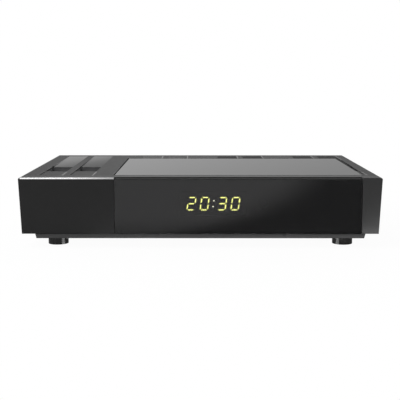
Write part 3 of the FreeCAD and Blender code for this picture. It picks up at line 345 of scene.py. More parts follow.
def matte_finish(tint):
    """The fascia's dull plastic, with a very fine texture."""
    finish = new_finish("Matte fascia", ior=1.35)
    finish.bump(finish.noise(2600.0, 3.0, 0.6), 0.00002, 0.4)
    return finish.feeds_mottled(tint, 300.0, 0.08, finish.noise(200.0).to(0.6, 0.68))


def gloss_finish(name, tint, rough):
    """Polished plastic with the slight waviness and faint wipe marks of a real pane."""
    finish = new_finish(name, ior=1.5)
    finish.bump(finish.noise(28.0, 1.0), 0.00002, 0.3)
    wipes = finish.noise(1.0, 3.0, 0.6, finish.stretched((35.0, 260.0, 260.0)))
    return finish.feeds_mottled(tint, 40.0, 0.05, wipes.to(rough * 0.8, rough * 1.25))


def window_finish(tint):
    """Smoked clear plastic with a dull cut edge: what is lit behind it shows through."""
    finish = new_finish("Smoked window", ior=1.49, alpha=0.62)
    finish.bump(finish.noise(20.0, 1.0), 0.00001, 0.3)
    wipes = finish.noise(1.0, 3.0, 0.6, finish.stretched((40.0, 240.0, 240.0)))
    cut_edge = 0.06 * MM
    cut = finish.axis("Z") > WINDOW_HIGH.z - cut_edge
    return finish.feeds_mottled(tint, 40.0, 0.05, wipes.to(0.03, 0.06) + cut * 0.8)


def lit_finish(name, tint):
    """Bars that glow on their flat faces and hardly on their sloped rims."""
    finish = new_finish(name, roughness=0.5, emission_strength=9.8)
    flat = (0 - finish.facing("Y")).fade(0.75, 0.98, 0.03, 1.0)
    glow = finish.noise(900.0, 1.0).blend(tint, scaled(tint, 0.8, 0.2))
    return finish.feeds(base_color=tint, emission_color=flat.blend((0, 0, 0), glow))


def trim_finish(tint):
    """The trim strip's polished foil, its colour darkened towards the window: a painted fade of its reflection,
    brightest nearest the light on the left.
    """
    finish = new_finish("Bright trim", metallic=1.0)
    # Painted reflection: the foil's colour fades darker away from the light on the left.
    painted_reflection_fade = finish.axis("X").fade(-82 * MM, -43 * MM, 0.0, 1.0)
    rough = finish.noise(1.0, 2.0, 0.5, finish.stretched((60.0, 900.0, 900.0)))
    finish.bump(rough, 0.000001, 0.1)
    return finish.feeds(base_color=painted_reflection_fade.blend(tint, scaled(tint, 0.36)),
                        roughness=rough.to(0.16, 0.22))


def metal_finish(name, tint, rough, drawn=900.0):
    """Bare or plated metal, with lines along X where drawn is small."""
    finish = new_finish(name, metallic=1.0)
    lines = finish.noise(1.0, 3.0, 0.6, finish.stretched((drawn, 2200.0, 2200.0)))
    finish.bump(lines, 0.00001, 0.2)
    return finish.feeds_mottled(tint, 260.0, 0.06, lines.to(rough - 0.06, rough + 0.06))


def rubber_finish(tint):
    """Firm moulded rubber with a soft sheen."""
    finish = new_finish("Foot rubber", ior=1.5)
    finish.bump(finish.noise(1800.0, 4.0, 0.65), 0.00002, 0.3)
    return finish.feeds_mottled(tint, 420.0, 0.25, finish.noise(500.0).to(0.2, 0.28))


def paint_finish(tint):
    """Fine-textured paint on the rear panel."""
    finish = new_finish("Textured paint", ior=1.5)
    finish.bump(finish.noise(2600.0, 3.0, 0.55), 0.00004, 0.6)
    return finish.feeds_mottled(tint, 300.0, 0.12, finish.noise(700.0).to(0.42, 0.55))


def board_finish(tint):
    """Solder mask over copper tracks and ground areas, with tinned pads."""
    finish = new_finish("Circuit board", ior=1.5)
    tracks = finish.node("TexBrick", {"offset": 0.37}, {
        "Vector": finish.place(), "Scale": 110.0, "Mortar Size": 0.018, "Mortar Smooth": 0.1,
        "Color1": (0, 0, 0), "Color2": (0, 0, 0), "Mortar": (1, 1, 1)})
    pads = finish.node("TexVoronoi", inputs={"Vector": finish.place(), "Scale": 330.0}) < 0.14
    green = tracks.blend(tint, scaled(tint, 1.9))
    finish.bump(tracks * 0.6 + pads, 0.00004, 0.6)
    return finish.feeds(base_color=pads.blend(green, (0.62, 0.6, 0.55)), metallic=pads * 0.9,
                        roughness=pads.to(0.28, 0.4))


def sleeve_finish():
    """Capacitors: a dark printed sleeve under a bare aluminium top."""
    finish = new_finish("Capacitor sleeve", ior=1.5)
    bare_height = 0.5 * MM
    top = finish.axis("Z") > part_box("capacitors")[1].z - bare_height
    body = finish.mottled((0.016, 0.022, 0.07), 500.0, 0.1)
    return finish.feeds(base_color=top.blend(body, (0.7, 0.7, 0.71)), metallic=top,
                        roughness=top.to(0.35, 0.3))


# Modelling


def place_mesh(name, source):
    """A new object with its own copy of a mesh."""
    piece = bpy.data.objects.new(name, source.copy())
    bpy.context.scene.collection.objects.link(piece)
    return piece


def take(*pieces):
    """Select only these pieces and make the first one active."""
    bpy.ops.object.select_all(action="DESELECT")
    for piece in pieces:
        piece.select_set(True)
    bpy.context.view_layer.objects.active = pieces[0]


def edit(piece):
    """Take a piece into edit mode with everything selected."""
    take(piece)
    bpy.ops.object.mode_set(mode="EDIT")
    bpy.ops.mesh.select_mode(type="VERT")
    bpy.ops.mesh.select_all(action="SELECT")


def primitive(kind, name, **settings):
    """Add a primitive while nothing else is selected."""
    bpy.ops.object.select_all(action="DESELECT")
    getattr(bpy.ops.mesh, f"primitive_{kind}_add")(**settings)
    bpy.context.object.name = name
    return bpy.context.object


def edit_faces(piece, chosen):
    """Take a piece into edit mode with only the faces selected for which chosen is true."""
    edit(piece)
    bpy.ops.mesh.select_mode(type="FACE")
    bpy.ops.mesh.select_all(action="DESELECT")
    bpy.ops.object.mode_set(mode="OBJECT")
    for face in piece.data.polygons:
        face.select = chosen(face)
    bpy.ops.object.mode_set(mode="EDIT")


def extrude(*steps):
    """In edit mode, extrude what is selected by each step in turn."""
    for step in steps:
        bpy.ops.mesh.extrude_region_move(TRANSFORM_OT_translate={"value": step})


def settle(piece):
    """Put the piece's place and turn into its mesh."""
    bpy.ops.object.mode_set(mode="OBJECT")
    take(piece)
    bpy.ops.object.transform_apply(location=True, rotation=True, scale=True)
    return piece


def move(piece, place, turn=UPWARDS):
    """Shift and turn a piece together with its mesh."""
    piece.location = place
    piece.rotation_euler = turn
    return settle(piece)


def join(name, pieces):
    """Join pieces into one."""
    take(*pieces)
    if len(pieces) > 1:
        bpy.ops.object.join()
    bpy.context.object.name = name
    return bpy.context.object


def apply_modifier(piece, kind, **settings):
    """Add a modifier with its settings and apply it."""
    take(piece)
    modifier = piece.modifiers.new(kind.title(), kind)
    for name, setting in settings.items():
        setattr(modifier, name, setting)
    bpy.ops.object.modifier_apply(modifier=modifier.name)


def flatten(piece, weld=0.002 * MM, flat_angle=0.6):
    """Join what lies in one plane, then split it into faces without holes."""
    edit(piece)
    bpy.ops.mesh.remove_doubles(threshold=weld)
    bpy.ops.mesh.dissolve_limited(angle_limit=math.radians(flat_angle))
    bpy.ops.mesh.vert_connect_concave()
    bpy.ops.object.mode_set(mode="OBJECT")


def soften(piece, width, angle=38):
    """Round the edges sharper than an angle, and shade the piece smooth across them."""
    take(piece)
    bpy.ops.object.shade_smooth()
    apply_modifier(piece, "BEVEL", width=width, segments=2, limit_method="ANGLE",
                   angle_limit=math.radians(angle), use_clamp_overlap=False, loop_slide=False)
    flatten(piece)
    apply_modifier(piece, "WEIGHTED_NORMAL", weight=60)
    return piece


def carve(piece, tool, operation="DIFFERENCE"):
    """Cut a piece with a tool, or keep what they share, and remove the tool."""
    apply_modifier(piece, "BOOLEAN", object=tool, operation=operation, solver="EXACT")
    bpy.data.objects.remove(tool)


def arc(height, radius, size, start, end, steps=4):
    """Points of a rounded stretch of an outline: its centre, size and angles (0 out, 90 up)."""
    angles = [math.radians(start + (end - start) * step / steps) for step in range(steps + 1)]
    return [(height + size * math.sin(angle), radius + size * math.cos(angle)) for angle in angles]


def turned(name, outline, place=(0, 0, 0), turn=UPWARDS, sides=48):
    """A turned piece: a circle extruded and scaled through (height, radius) along its axis."""
    solid = outline[0][1] == POLE
    height, radius = outline[0]
    piece = primitive("circle", name, vertices=sides, radius=radius, location=(0, 0, height))
    edit(piece)
    for next_height, next_radius in outline[1:] + ([] if solid else outline[:1]):
        extrude((0, 0, next_height - height))
        growth = next_radius / radius
        bpy.ops.transform.resize(value=(growth, growth, 1), center_override=(0, 0, next_height))
        height, radius = next_height, next_radius
    bpy.ops.mesh.select_all(action="SELECT")
    bpy.ops.mesh.remove_doubles(threshold=2 * POLE)
    bpy.ops.mesh.normals_make_consistent(inside=False)
    move(settle(piece), place, turn)
    bpy.ops.object.shade_smooth_by_angle(angle=math.radians(32))
    return piece


def block(name, low, high):
    """A box between two corners, as a start."""
    low, high = Vector(low), Vector(high)
    return settle(primitive("cube", name, size=1, location=(low + high) / 2, scale=high - low))


def copies(name, master, places, turn=UPWARDS):
    """Copies of a master at places, joined into one piece. The master goes."""
    made = [move(place_mesh(name, master.data), place, turn) for place in places]
    bpy.data.objects.remove(master)
    return join(name, made)


def corners_of(piece):
    """The lowest and highest corner of a settled piece."""
    points = [vertex.co for vertex in piece.data.vertices]
    return Vector(map(min, *points)), Vector(map(max, *points))


def underside(low, high):
    """The middle of a box's underside, where an upright piece starts."""
    return ((low.x + high.x) / 2, (low.y + high.y) / 2, low.z)


def inner_end(low, high):
    """The middle of a box's front face, where a piece that points backwards starts."""
    return ((low.x + high.x) / 2, low.y, (low.z + high.z) / 2)


def loose_parts(node):
    """The separate solids of a node, as merged copies."""
    edit(merged_copy(node))
    bpy.ops.mesh.separate(type="LOOSE")
    bpy.ops.object.mode_set(mode="OBJECT")
    return list(bpy.context.selected_objects)


def solids_of(node):
    """The corners of each separate solid of a node."""
    solids = loose_parts(node)
    corners = [corners_of(solid) for solid in solids]
    for solid in solids:
        bpy.data.objects.remove(solid)
    return corners


def slot_of(node):
    """The material slot that the record gives a node."""
    subparts = frame["record"]["subparts"]
    return next(entry["material_slot"] for entry in subparts if entry["node"] == node)


def dress(material, *nodes):
    """Give nodes that keep their own shape a finish."""
    for node in nodes:
        for holder in NODES[node].material_slots:
            holder.material = material


def stand_for(piece, material, *nodes, body="receiver"):
    """Give a piece its finish and let it ride in place of nodes."""
    add_detail(piece, material, slot_of(nodes[0]), body)
    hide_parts(*nodes)


def add_detail(piece, material, slot, body="receiver"):
    """Give a piece that replaces nothing its finish and body; its slot is not used."""
    piece.data.materials.clear()
    piece.data.materials.append(material)
    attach(piece, body)


def merged_copy(node):
    """A copy of a node with its loose triangles merged into flat faces."""
    piece = place_mesh(node + "_rounded", NODES[node].data)
    flatten(piece)
    return piece


def rounded(node, width, material, body="receiver"):
    """A copy of a node with its sharp edges rounded, in the node's place."""
    stand_for(soften(merged_copy(node), width), material, node, body=body)


# Screws


def cross_recess(screw, head_radius, width):
    """Sink a tapered cross into the top of a screw's head."""
    depth = 0.7 * MM
    for turn in (0, 90):
        blade = primitive("cube", "blade", size=1, scale=(1.2 * head_radius, width, 2 * depth),
                          rotation=(0, 0, math.radians(turn)))
        edit_faces(settle(blade), lambda face: face.normal.z < -0.5)
        bpy.ops.transform.resize(value=(0.45, 0.45, 1), center_override=(0, 0, -depth))
        bpy.ops.object.mode_set(mode="OBJECT")
        carve(screw, blade)


def screw_master(full_length, head_radius, head_height, shank_radius, pitch, width):
    """A pan-head screw whose head's top is at the origin, with its threaded shank below."""
    tip = -full_length
    outline = [(tip, POLE), (tip + shank_radius, 0.8 * shank_radius)]
    height = tip + shank_radius
    while height + pitch < -head_height:
        outline += [(height + 0.4 * pitch, shank_radius), (height + 0.6 * pitch, shank_radius),
                    (height + pitch, 0.8 * shank_radius)]
        height += pitch
    dome = 0.55 * head_height
    outline += [(-head_height, 0.8 * shank_radius), (-head_height, head_radius)]
    outline += arc(-dome, head_radius - dome, dome, 0, 90, 3)
    screw = turned("screw", outline + [(0, POLE)], sides=24)
    cross_recess(screw, head_radius, width)
    return screw


def pan_heads(node, turn, sizes, material):
    """Screws with crossed heads in place of a node's plain ones."""
    axis = 1 if turn == BACKWARDS else 2
    groups = {}
    for low, high in solids_of(node):
        head = low if turn == DOWNWARDS else high
        place = (low + high) / 2
        place[axis] = head[axis]
        groups.setdefault(round((high - low)[axis] / MM, 2), []).append((place, (high - low).x / 2))
    made = []
    for full_length, members in groups.items():
        head_radius = members[0][1]
        master = screw_master(full_length * MM, head_radius, head_height=1.2 * MM,
                              shank_radius=0.52 * head_radius, pitch=sizes.screw_pitch,
                              width=sizes.cross_width)
        made.append(copies("screws", master, [place for place, radius in members], turn))
    stand_for(join(node + "_crossed", made), material, node)


class ReceiverOperator:
    """What every step shares: its sizes and colours, and that it can be undone."""

    bl_options = {"REGISTER", "UNDO"}

    @property
    def sizes(self):
        return bpy.context.scene.receiver_sizes

    @property
    def colours(self):
        return bpy.context.scene.receiver_colours


class RECEIVER_OT_case(ReceiverOperator, bpy.types.Operator):
    """Round and finish the cover, frame, bottom case and rear panel"""

    bl_idname = "receiver.case"
    bl_label = "Case"

    def execute(self, context):
        edge = self.sizes.edge_round
        satin = satin_finish("Satin moulding", self.colours.satin, 0.28)
        rounded("top_cover", edge, cover_finish(self.colours.cover))
        rounded("front_frame", edge, frame_finish(self.colours.satin, self.colours.cover))
        rounded("bottom_case", edge, satin)
        rounded("rear_panel", self.sizes.fine_round, paint_finish(self.colours.panel))
        return {"FINISHED"}


class RECEIVER_OT_front(ReceiverOperator, bpy.types.Operator):
    """Round and finish the fascia, trim strip, window and top plate"""

    bl_idname = "receiver.front"
    bl_label = "Front"

    def execute(self, context):
        fine = self.sizes.fine_round
        rounded("left_fascia", self.sizes.edge_round, matte_finish(self.colours.fascia))
        rounded("trim_strip", fine, trim_finish((0.98, 0.98, 0.99)))
        rounded("display_window", fine, window_finish(self.colours.window))
        rounded("top_plate", fine, gloss_finish("Gloss plate", self.colours.plate, 0.05))
        return {"FINISHED"}


class RECEIVER_OT_display(ReceiverOperator, bpy.types.Operator):
    """Light the display behind the window"""

    bl_idname = "receiver.display"
    bl_label = "Display"

    def execute(self, context):
        lit = self.colours.lit
        self.add_bars("display_digits", lit_finish("Lit bars", lit))
        self.add_bars("display_colon", lit_finish("Lit dots", scaled(lit, 0.28, 0.6)))
        dress(satin_finish("Display face", (0.012, 0.012, 0.012), 0.5), "led_display")
        dress(gloss_finish("Infrared eye", (0.02, 0.008, 0.01), 0.15), "ir_receiver")
        return {"FINISHED"}

    def add_bars(self, node, material):
        """The bars with a slope round each front face."""
        piece = merged_copy(node)
        edit_faces(piece, lambda face: face.normal.y < -0.9)
        bpy.ops.mesh.bevel(offset=self.sizes.bar_slope, segments=1, affect="EDGES")
        bpy.ops.object.mode_set(mode="OBJECT")
        stand_for(piece, material, node)


class RECEIVER_OT_feet(ReceiverOperator, bpy.types.Operator):
    """Turn the four feet, each with a rounded tread and a recess for its screw"""

    bl_idname = "receiver.feet"
    bl_label = "Feet"

    def execute(self, context):
        boxes = solids_of("rubber_feet")
        low, high = boxes[0]
        radius = (high.x - low.x) / 2
        height = high.z - low.z
        edge = 0.15 * MM
        hole = 1.3 * MM
        recess = 2.6 * MM
        lip = 0.2 * MM
        head_seat = 3.5 * MM
        groove = 0.3 * MM
        outline = [(height, hole), (height, radius - edge), (height - edge, radius)]
        outline += arc(edge, radius - edge, edge, 0, -90)
        outline += [(0, radius - 2.2 * MM), (groove, radius - 2.4 * MM),
                    (groove, radius - 2.9 * MM), (0, radius - 3.1 * MM),
                    (0, recess + lip), (lip, recess), (head_seat, recess), (head_seat, hole)]
        master = turned("foot", outline)
        feet = copies("turned_feet", master, [underside(*box) for box in boxes])
        stand_for(feet, rubber_finish(self.colours.rubber), "rubber_feet")
        return {"FINISHED"}


class RECEIVER_OT_screws(ReceiverOperator, bpy.types.Operator):
    """Give every screw a domed head with a crossed recess and a threaded shank"""

    bl_idname = "receiver.screws"
    bl_label = "Screws"

    def execute(self, context):
        zinc = metal_finish("Zinc plate", (0.6, 0.61, 0.63), 0.3)
        for node, turn in (("foot_screws", DOWNWARDS), ("case_screws", DOWNWARDS),
                           ("board_screws", UPWARDS), ("panel_screws", BACKWARDS),
                           ("display_board_screws", BACKWARDS)):
            pan_heads(node, turn, self.sizes, zinc)
        return {"FINISHED"}


class RECEIVER_OT_boards(ReceiverOperator, bpy.types.Operator):
    """Finish the boards, and detail the chips, capacitors and cans that they carry"""

    bl_idname = "receiver.boards"
    bl_label = "Boards"

    def execute(self, context):
        fine = self.sizes.fine_round
        chip = satin_finish("Chip resin", (0.018, 0.018, 0.019), 0.55, 0.00002)
        ferrite = satin_finish("Ferrite", (0.03, 0.029, 0.029), 0.7, 0.00004)
        tin = metal_finish("Tinned steel", (0.55, 0.55, 0.56), 0.42, 60.0)
        cream = satin_finish("Header plastic", (0.6, 0.57, 0.48), 0.45)
        dress(board_finish(self.colours.mask), "main_board", "display_board")
        for node in ("processor", "memory_chips", "flash_chip", "regulators"):
            rounded(node, fine, chip)
        rounded("inductors", self.sizes.edge_round, ferrite)
        rounded("tuner_can", self.sizes.edge_round, tin)
        rounded("crystal", fine, tin)
        rounded("heat_sink", fine, metal_finish("Sink aluminium", (0.6, 0.61, 0.62), 0.42, 60.0))
        rounded("board_connector", fine, cream)
        self.add_capacitors()
        self.add_leads(tin)
        return {"FINISHED"}

    def add_capacitors(self):
        """Cans with a crimped foot and a rolled rim round a sunken top."""
        boxes = solids_of("capacitors")
        low, high = boxes[0]
        radius = (high.x - low.x) / 2
        height = high.z - low.z
        crimp = 0.3 * MM
        rim = 0.45 * MM
        sunken = height - 0.15 * MM
        outline = [(0, POLE), (0, radius - crimp), (crimp, radius), (1.6 * MM, radius),
                   (2 * MM, radius - crimp), (2.4 * MM, radius)]
        outline += arc(height - rim, radius - rim, rim, 0, 90)
        outline += [(sunken, radius - rim - 0.35 * MM), (sunken, POLE)]
        master = turned("can", outline, sides=32)
        cans = copies("crimped_capacitors", master, [underside(*box) for box in boxes])
        stand_for(cans, sleeve_finish(), "capacitors")

    def add_leads(self, tin):
        """Rows of bent leads along both sides of the memory and flash chips."""
        pitch = self.sizes.lead_pitch
        rows = []
        for low, high in solids_of("memory_chips") + solids_of("flash_chip"):
            count = int((high.y - low.y - pitch) / pitch)
            first = (low.y + high.y - (count - 1) * pitch) / 2
            for side, edge in ((-1, low.x), (1, high.x)):
                places = [(edge, first + number * pitch, low.z) for number in range(count)]
                rows.append(copies("lead_row", self.lead(side), places))
        add_detail(join("chip_leads", rows), tin, slot_of("tuner_can"))

    def lead(self, side):
        """A bent lead from a chip's edge down to a short foot on the board."""
        half = 0.2 * MM
        thick = 0.13 * MM
        drop = 0.5 * MM
        piece = block("lead", (-0.15 * MM, -half, drop), (0.35 * MM, half, drop + thick))
        edit_faces(piece, lambda face: face.normal.x > 0.5)
        extrude((0.12 * MM, 0, -0.15 * MM), (0.1 * MM, 0, -0.33 * MM), (0.45 * MM, 0, 0))
        return move(settle(piece), (0, 0, 0), (0, 0, math.pi if side < 0 else 0))


class RECEIVER_OT_aerial_sockets(ReceiverOperator, bpy.types.Operator):
    """Thread the two aerial sockets, chamfer their nuts and finish their cores"""

    bl_idname = "receiver.aerial_sockets"
    bl_label = "Aerial sockets"

    def execute(self, context):
        fine = self.sizes.fine_round
        nickel = metal_finish("Nickel plate", (0.68, 0.66, 0.62), 0.22)
        cream = satin_finish("Insulator plastic", (0.72, 0.69, 0.6), 0.45)
        for node in ("lnb_in_socket", "lnb_out_socket"):
            self.add_thread(node, nickel)
        self.chamfer_nuts(nickel)
        rounded("socket_washers", fine, nickel)
        rounded("socket_insulators", fine, cream)
        return {"FINISHED"}

    def add_thread(self, node, material):
        """A tube with a plain neck inside the nut and a thread out to a chamfered mouth."""
        low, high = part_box(node)
        crest = (high.x - low.x) / 2
        thread_depth = 0.42 * MM
        root = crest - thread_depth
        bore = 3.4 * MM
        reach = high.y - low.y
        pitch = self.sizes.thread_pitch
        height = NUT_BACK - low.y
        outline = [(0, bore), (0, root), (height, root)]
        while height + 2 * pitch < reach:
            outline += [(height + 0.42 * pitch, crest), (height + 0.58 * pitch, crest),
                        (height + pitch, root)]
            height += pitch
        outline += [(reach - 0.5 * MM, crest - 0.25 * MM), (reach, root - 0.15 * MM), (reach, bore)]
        tube = turned(node + "_threaded", outline, inner_end(low, high), BACKWARDS)
        stand_for(tube, material, node)

    def chamfer_nuts(self, material):
        """Trim each nut's corners with a barrel that slopes off at both ends."""
        made = []
        for nut in loose_parts("socket_nuts"):
            low, high = corners_of(nut)
            end_radius = 0.94 * (high.x - low.x) / 2
            wide_radius = 1.02 * (high.z - low.z) / 2
            reach = high.y - low.y
            slope = 0.5 * MM
            past = 0.1 * MM
            outline = [(-past, POLE), (-past, end_radius), (slope, wide_radius),
                       (reach - slope, wide_radius), (reach + past, end_radius),
                       (reach + past, POLE)]
            carve(nut, turned("barrel", outline, inner_end(low, high), BACKWARDS), "INTERSECT")
            made.append(soften(nut, self.sizes.fine_round))
        stand_for(join("chamfered_nuts", made), material, "socket_nuts")


class RECEIVER_OT_scart_socket(ReceiverOperator, bpy.types.Operator):
    """Round the scart socket and put a sprung contact into each of its slots"""

    bl_idname = "receiver.scart_socket"
    bl_label = "Scart socket"

    def execute(self, context):
        rounded("scart_socket", self.sizes.edge_round,
                satin_finish("Scart plastic", BLACK_PLASTIC, 0.48, 0.00002))
        low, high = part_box("scart_socket")
        middle = (low + high) / 2
        pitch = self.sizes.scart_pitch
        half_apart = self.sizes.scart_rows / 2
        count = 10
        first = middle.x - (count - 1) * pitch / 2 - pitch / 4
        places = [(first + (number + shift) * pitch, high.y, middle.z + side * half_apart)
                  for shift, side in ((0, -1), (0.5, 1)) for number in range(count)]
        contacts = copies("scart_contacts", self.leaf(), places)
        tin = metal_finish("Contact tin", (0.7, 0.66, 0.55), 0.25)
        add_detail(contacts, tin, slot_of("dc_pin"))
        return {"FINISHED"}

    def leaf(self):
        """One contact: a strip that bows towards the middle of its slot."""
        half = self.sizes.contact_width / 2
        rise = 1.3 * MM
        piece = block("leaf", (-half, -9.5 * MM, -rise), (half, -7 * MM, rise))
        edit_faces(piece, lambda face: face.normal.y > 0.5)
        extrude((0.12 * MM, 2 * MM, 0), (0, 1.5 * MM, 0), (-0.12 * MM, 2 * MM, 0))
        bpy.ops.transform.resize(value=(0.7, 1, 0.8), center_override=(0, -1.5 * MM, 0))
        return settle(piece)


class RECEIVER_OT_data_sockets(ReceiverOperator, bpy.types.Operator):
    """Round the video and usb sockets and lay contacts along their tongues"""

    bl_idname = "receiver.data_sockets"
    bl_label = "Data sockets"

    def execute(self, context):
        fine = self.sizes.fine_round
        tin = metal_finish("Socket steel", (0.66, 0.66, 0.67), 0.3, 60.0)
        gold = metal_finish("Contact gold", (0.83, 0.62, 0.27), 0.22)
        rounded("video_socket", fine, tin)
        rounded("usb_socket", fine, tin)
        rounded("video_tongue", fine, satin_finish("Video tongue", BLACK_PLASTIC, 0.48, 0.00002))
        rounded("usb_tongue", fine, satin_finish("Usb tongue", (0.7, 0.68, 0.62), 0.4))
        self.add_strips("usb", 4, pitch=2.3 * MM, half=0.5 * MM, side=-1, material=gold)
        self.add_strips("video", self.sizes.video_contacts, pitch=1.0 * MM, half=0.22 * MM, side=1,
                        material=gold)
        add_detail(self.springs(), tin, slot_of("usb_socket"))
        return {"FINISHED"}

    def add_strips(self, kind, count, pitch, half, side, material):
        """Contacts with a turned-down nose, along a tongue's upper or lower face."""
        low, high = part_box(kind + "_tongue")
        level = high.z if side > 0 else low.z
        thick = 0.08 * MM
        back = low.y + 0.5 * MM
        front = high.y - 0.8 * MM
        nose = 0.4 * MM
        strip = block("strip", (-half, back, -thick), (half, front, thick))
        edit_faces(strip, lambda face: face.normal.y > 0.5)
        extrude((0, nose, -side * thick))
        settle(strip)
        first = (low.x + high.x - (count - 1) * pitch) / 2
        places = [(first + number * pitch, 0, level) for number in range(count)]
        add_detail(copies(kind + "_contacts", strip, places), material, slot_of("dc_pin"))

    def springs(self):
        """Two latch springs that rise from the floor of the usb socket."""
        low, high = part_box("usb_socket")
        floor = low.z + 0.45 * MM
        half = 1.1 * MM
        thick = 0.2 * MM
        apart = 3 * MM
        spring = block("spring", (-half, high.y - 7 * MM, floor),
                       (half, high.y - 6 * MM, floor + thick))
        edit_faces(spring, lambda face: face.normal.y > 0.5)
        extrude((0, 1.5 * MM, 0.4 * MM), (0, 1.0 * MM, 0.25 * MM), (0, 0.8 * MM, -0.3 * MM))
        settle(spring)
        middle = (low.x + high.x) / 2
        return copies("usb_springs", spring, [(middle + side * apart, 0, 0) for side in (-1, 1)])


class RECEIVER_OT_jacks(ReceiverOperator, bpy.types.Operator):
    """Turn the audio sleeve and the power pin, and round the jacks"""

    bl_idname = "receiver.jacks"
    bl_label = "Jacks"

    def execute(self, context):
        edge = self.sizes.edge_round
        nickel = metal_finish("Bright nickel", (0.7, 0.68, 0.64), 0.2)
        black = satin_finish("Jack plastic", BLACK_PLASTIC, 0.45, 0.00002)
        rounded("coax_audio_housing", edge, satin_finish("Orange core", (0.72, 0.17, 0.015), 0.4))
        rounded("ir_jack", edge, black)
        rounded("dc_jack", edge, black)
        self.add_sleeve(nickel)
        self.add_pin(nickel)
        return {"FINISHED"}

    def add_sleeve(self, material):
        """The audio socket's sleeve, with a shallow ring and rounded lips."""
        low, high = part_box("coax_audio_socket")
        radius = (high.x - low.x) / 2
        bore = radius - 0.6 * MM
        lip = 0.2 * MM
        ring = radius - 0.15 * MM
        reach = high.y - low.y
        outline = [(0, bore), (0, radius), (1.2 * MM, radius), (1.35 * MM, ring), (1.8 * MM, ring),
                   (1.95 * MM, radius)]
        outline += arc(reach - lip, radius - lip, lip, 0, 90)
        outline += arc(reach - lip, bore + lip, lip, 90, 180)
        sleeve = turned("audio_sleeve", outline, inner_end(low, high), BACKWARDS)
        stand_for(sleeve, material, "coax_audio_socket")

    def add_pin(self, material):
        """The power jack's pin, with a round nose."""
        low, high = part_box("dc_pin")
        radius = (high.x - low.x) / 2
        reach = high.y - low.y
        nose = arc(reach - radius, 0, radius, 0, 80, 6)
        outline = [(0, POLE), (0, radius)] + nose + [(reach, POLE)]
        pin = turned("power_pin", outline, inner_end(low, high), BACKWARDS, sides=24)
        stand_for(pin, material, "dc_pin")


class RECEIVER_OT_switch(ReceiverOperator, bpy.types.Operator):
    """Round the power switch and mark its rocker with a bar and a ring"""

    bl_idname = "receiver.switch"
    bl_label = "Switch"

    # How far a mark lies in the rocker's face and stands out of it.
    sunk = 0.05 * MM
    proud = 0.04 * MM

    def execute(self, context):
        plastic = gloss_finish("Switch plastic", BLACK_PLASTIC, 0.22)
        rounded("switch_body", self.sizes.edge_round, plastic)
        rounded("switch_rocker", self.sizes.edge_round, plastic, body="rocker")
        white = satin_finish("Mark white", (0.75, 0.75, 0.74), 0.5)
        marks = join("rocker_marks", [self.bar(), self.ring()])
        add_detail(marks, white, slot_of("switch_rocker"), "rocker")
        return {"FINISHED"}

    def on_face(self, mark, side):
        """Lay a flat mark on the upper or lower half of the rocker's face."""
        face_out = 2.1 * MM
        from_middle = 3.2 * MM
        dish = math.atan2(1.0, 6.6)
        tip = math.radians(-10)
        out = face_out + from_middle * math.tan(dish)
        across = side * from_middle
        pivot = Vector(frame["joints"][0]["pos_m"])
        place = pivot + Vector((0, out * math.cos(tip) - across * math.sin(tip),
                                out * math.sin(tip) + across * math.cos(tip)))
        return move(mark, place, (math.radians(-90) + tip - side * dish, 0, 0))

    def bar(self):
        """An upright bar."""
        half = 0.16 * MM
        reach = 1.1 * MM
        piece = block("bar", (-half, -reach, -self.sunk), (half, reach, self.proud))
        return self.on_face(soften(piece, 0.02 * MM), 1)

    def ring(self):
        """A round ring."""
        outer = 1.1 * MM
        inner = 0.8 * MM
        outline = [(-self.sunk, inner), (-self.sunk, outer), (self.proud, outer),
                   (self.proud, inner)]
        return self.on_face(turned("ring", outline, sides=40), -1)


# Stage


def area_lamp(name, place, aim, size, power):
    """A soft square lamp that looks at a point."""
    bpy.ops.object.light_add(type="AREA", location=place)
    lamp = bpy.context.object
    lamp.name = name
    lamp.data.size = size
    lamp.data.energy = power
    lamp.rotation_euler = (Vector(aim) - Vector(place)).to_track_quat("-Z", "Y").to_euler()


def painted_foot_glint(finish, across):
    """A bright wedge of floor that the front feet mirror on their inner sides: a painted highlight, seen only by
    gloss.
    """
    low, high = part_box("rubber_feet")
    radius = 6.25 * MM
    reach = 26 * MM
    strength = 3.7
    inward = high.x - radius - abs(across)
    ahead = low.y + radius / 2 - finish.axis("Y")
    return (inward > ahead * 1.2) * (inward < ahead * 6) * (ahead < reach) * strength


def floor_grade(finish):
    """How bright gloss sees each point of the floor: painted reflections for the window, the cheek and the lip,
    while the camera sees the floor plain white.
    """
    dark = 0.16
    across = finish.axis("X")
    ahead = FRONT - finish.axis("Y")
    # Painted reflection: the window mirrors this edge as a soft curve.
    edge = ahead.most(1.0 * MM) ** 0.226 * 0.443 - 0.25
    shade = (across - edge).fade(-23.5 * MM, 38.5 * MM, 1.1, dark)
    shade = (shade * ahead.fade(30 * MM, 125 * MM, 0.58, 1.0)).most(dark)
    # Painted reflection: the frame's right cheek mirrors this bright ground beside the front.
    beside = (across - ahead * 0.2).fade(99 * MM, 104 * MM, 0.0, 1.1)
    beside = beside * ahead.fade(40 * MM, 220 * MM, 1.0, 0.0)
    # Painted reflection: the bottom case's lip mirrors this bright band close to the front.
    band = ahead.fade(12 * MM, 24 * MM, 0.0, 1.0) * ahead.fade(36 * MM, 46 * MM, 1.0, 0.0)
    band = band * across.fade(-80 * MM, 110 * MM, 1.95, 3.55)
    near = beside.most(band) * (ahead > 12 * MM)
    return shade.most(near).most(painted_foot_glint(finish, across))


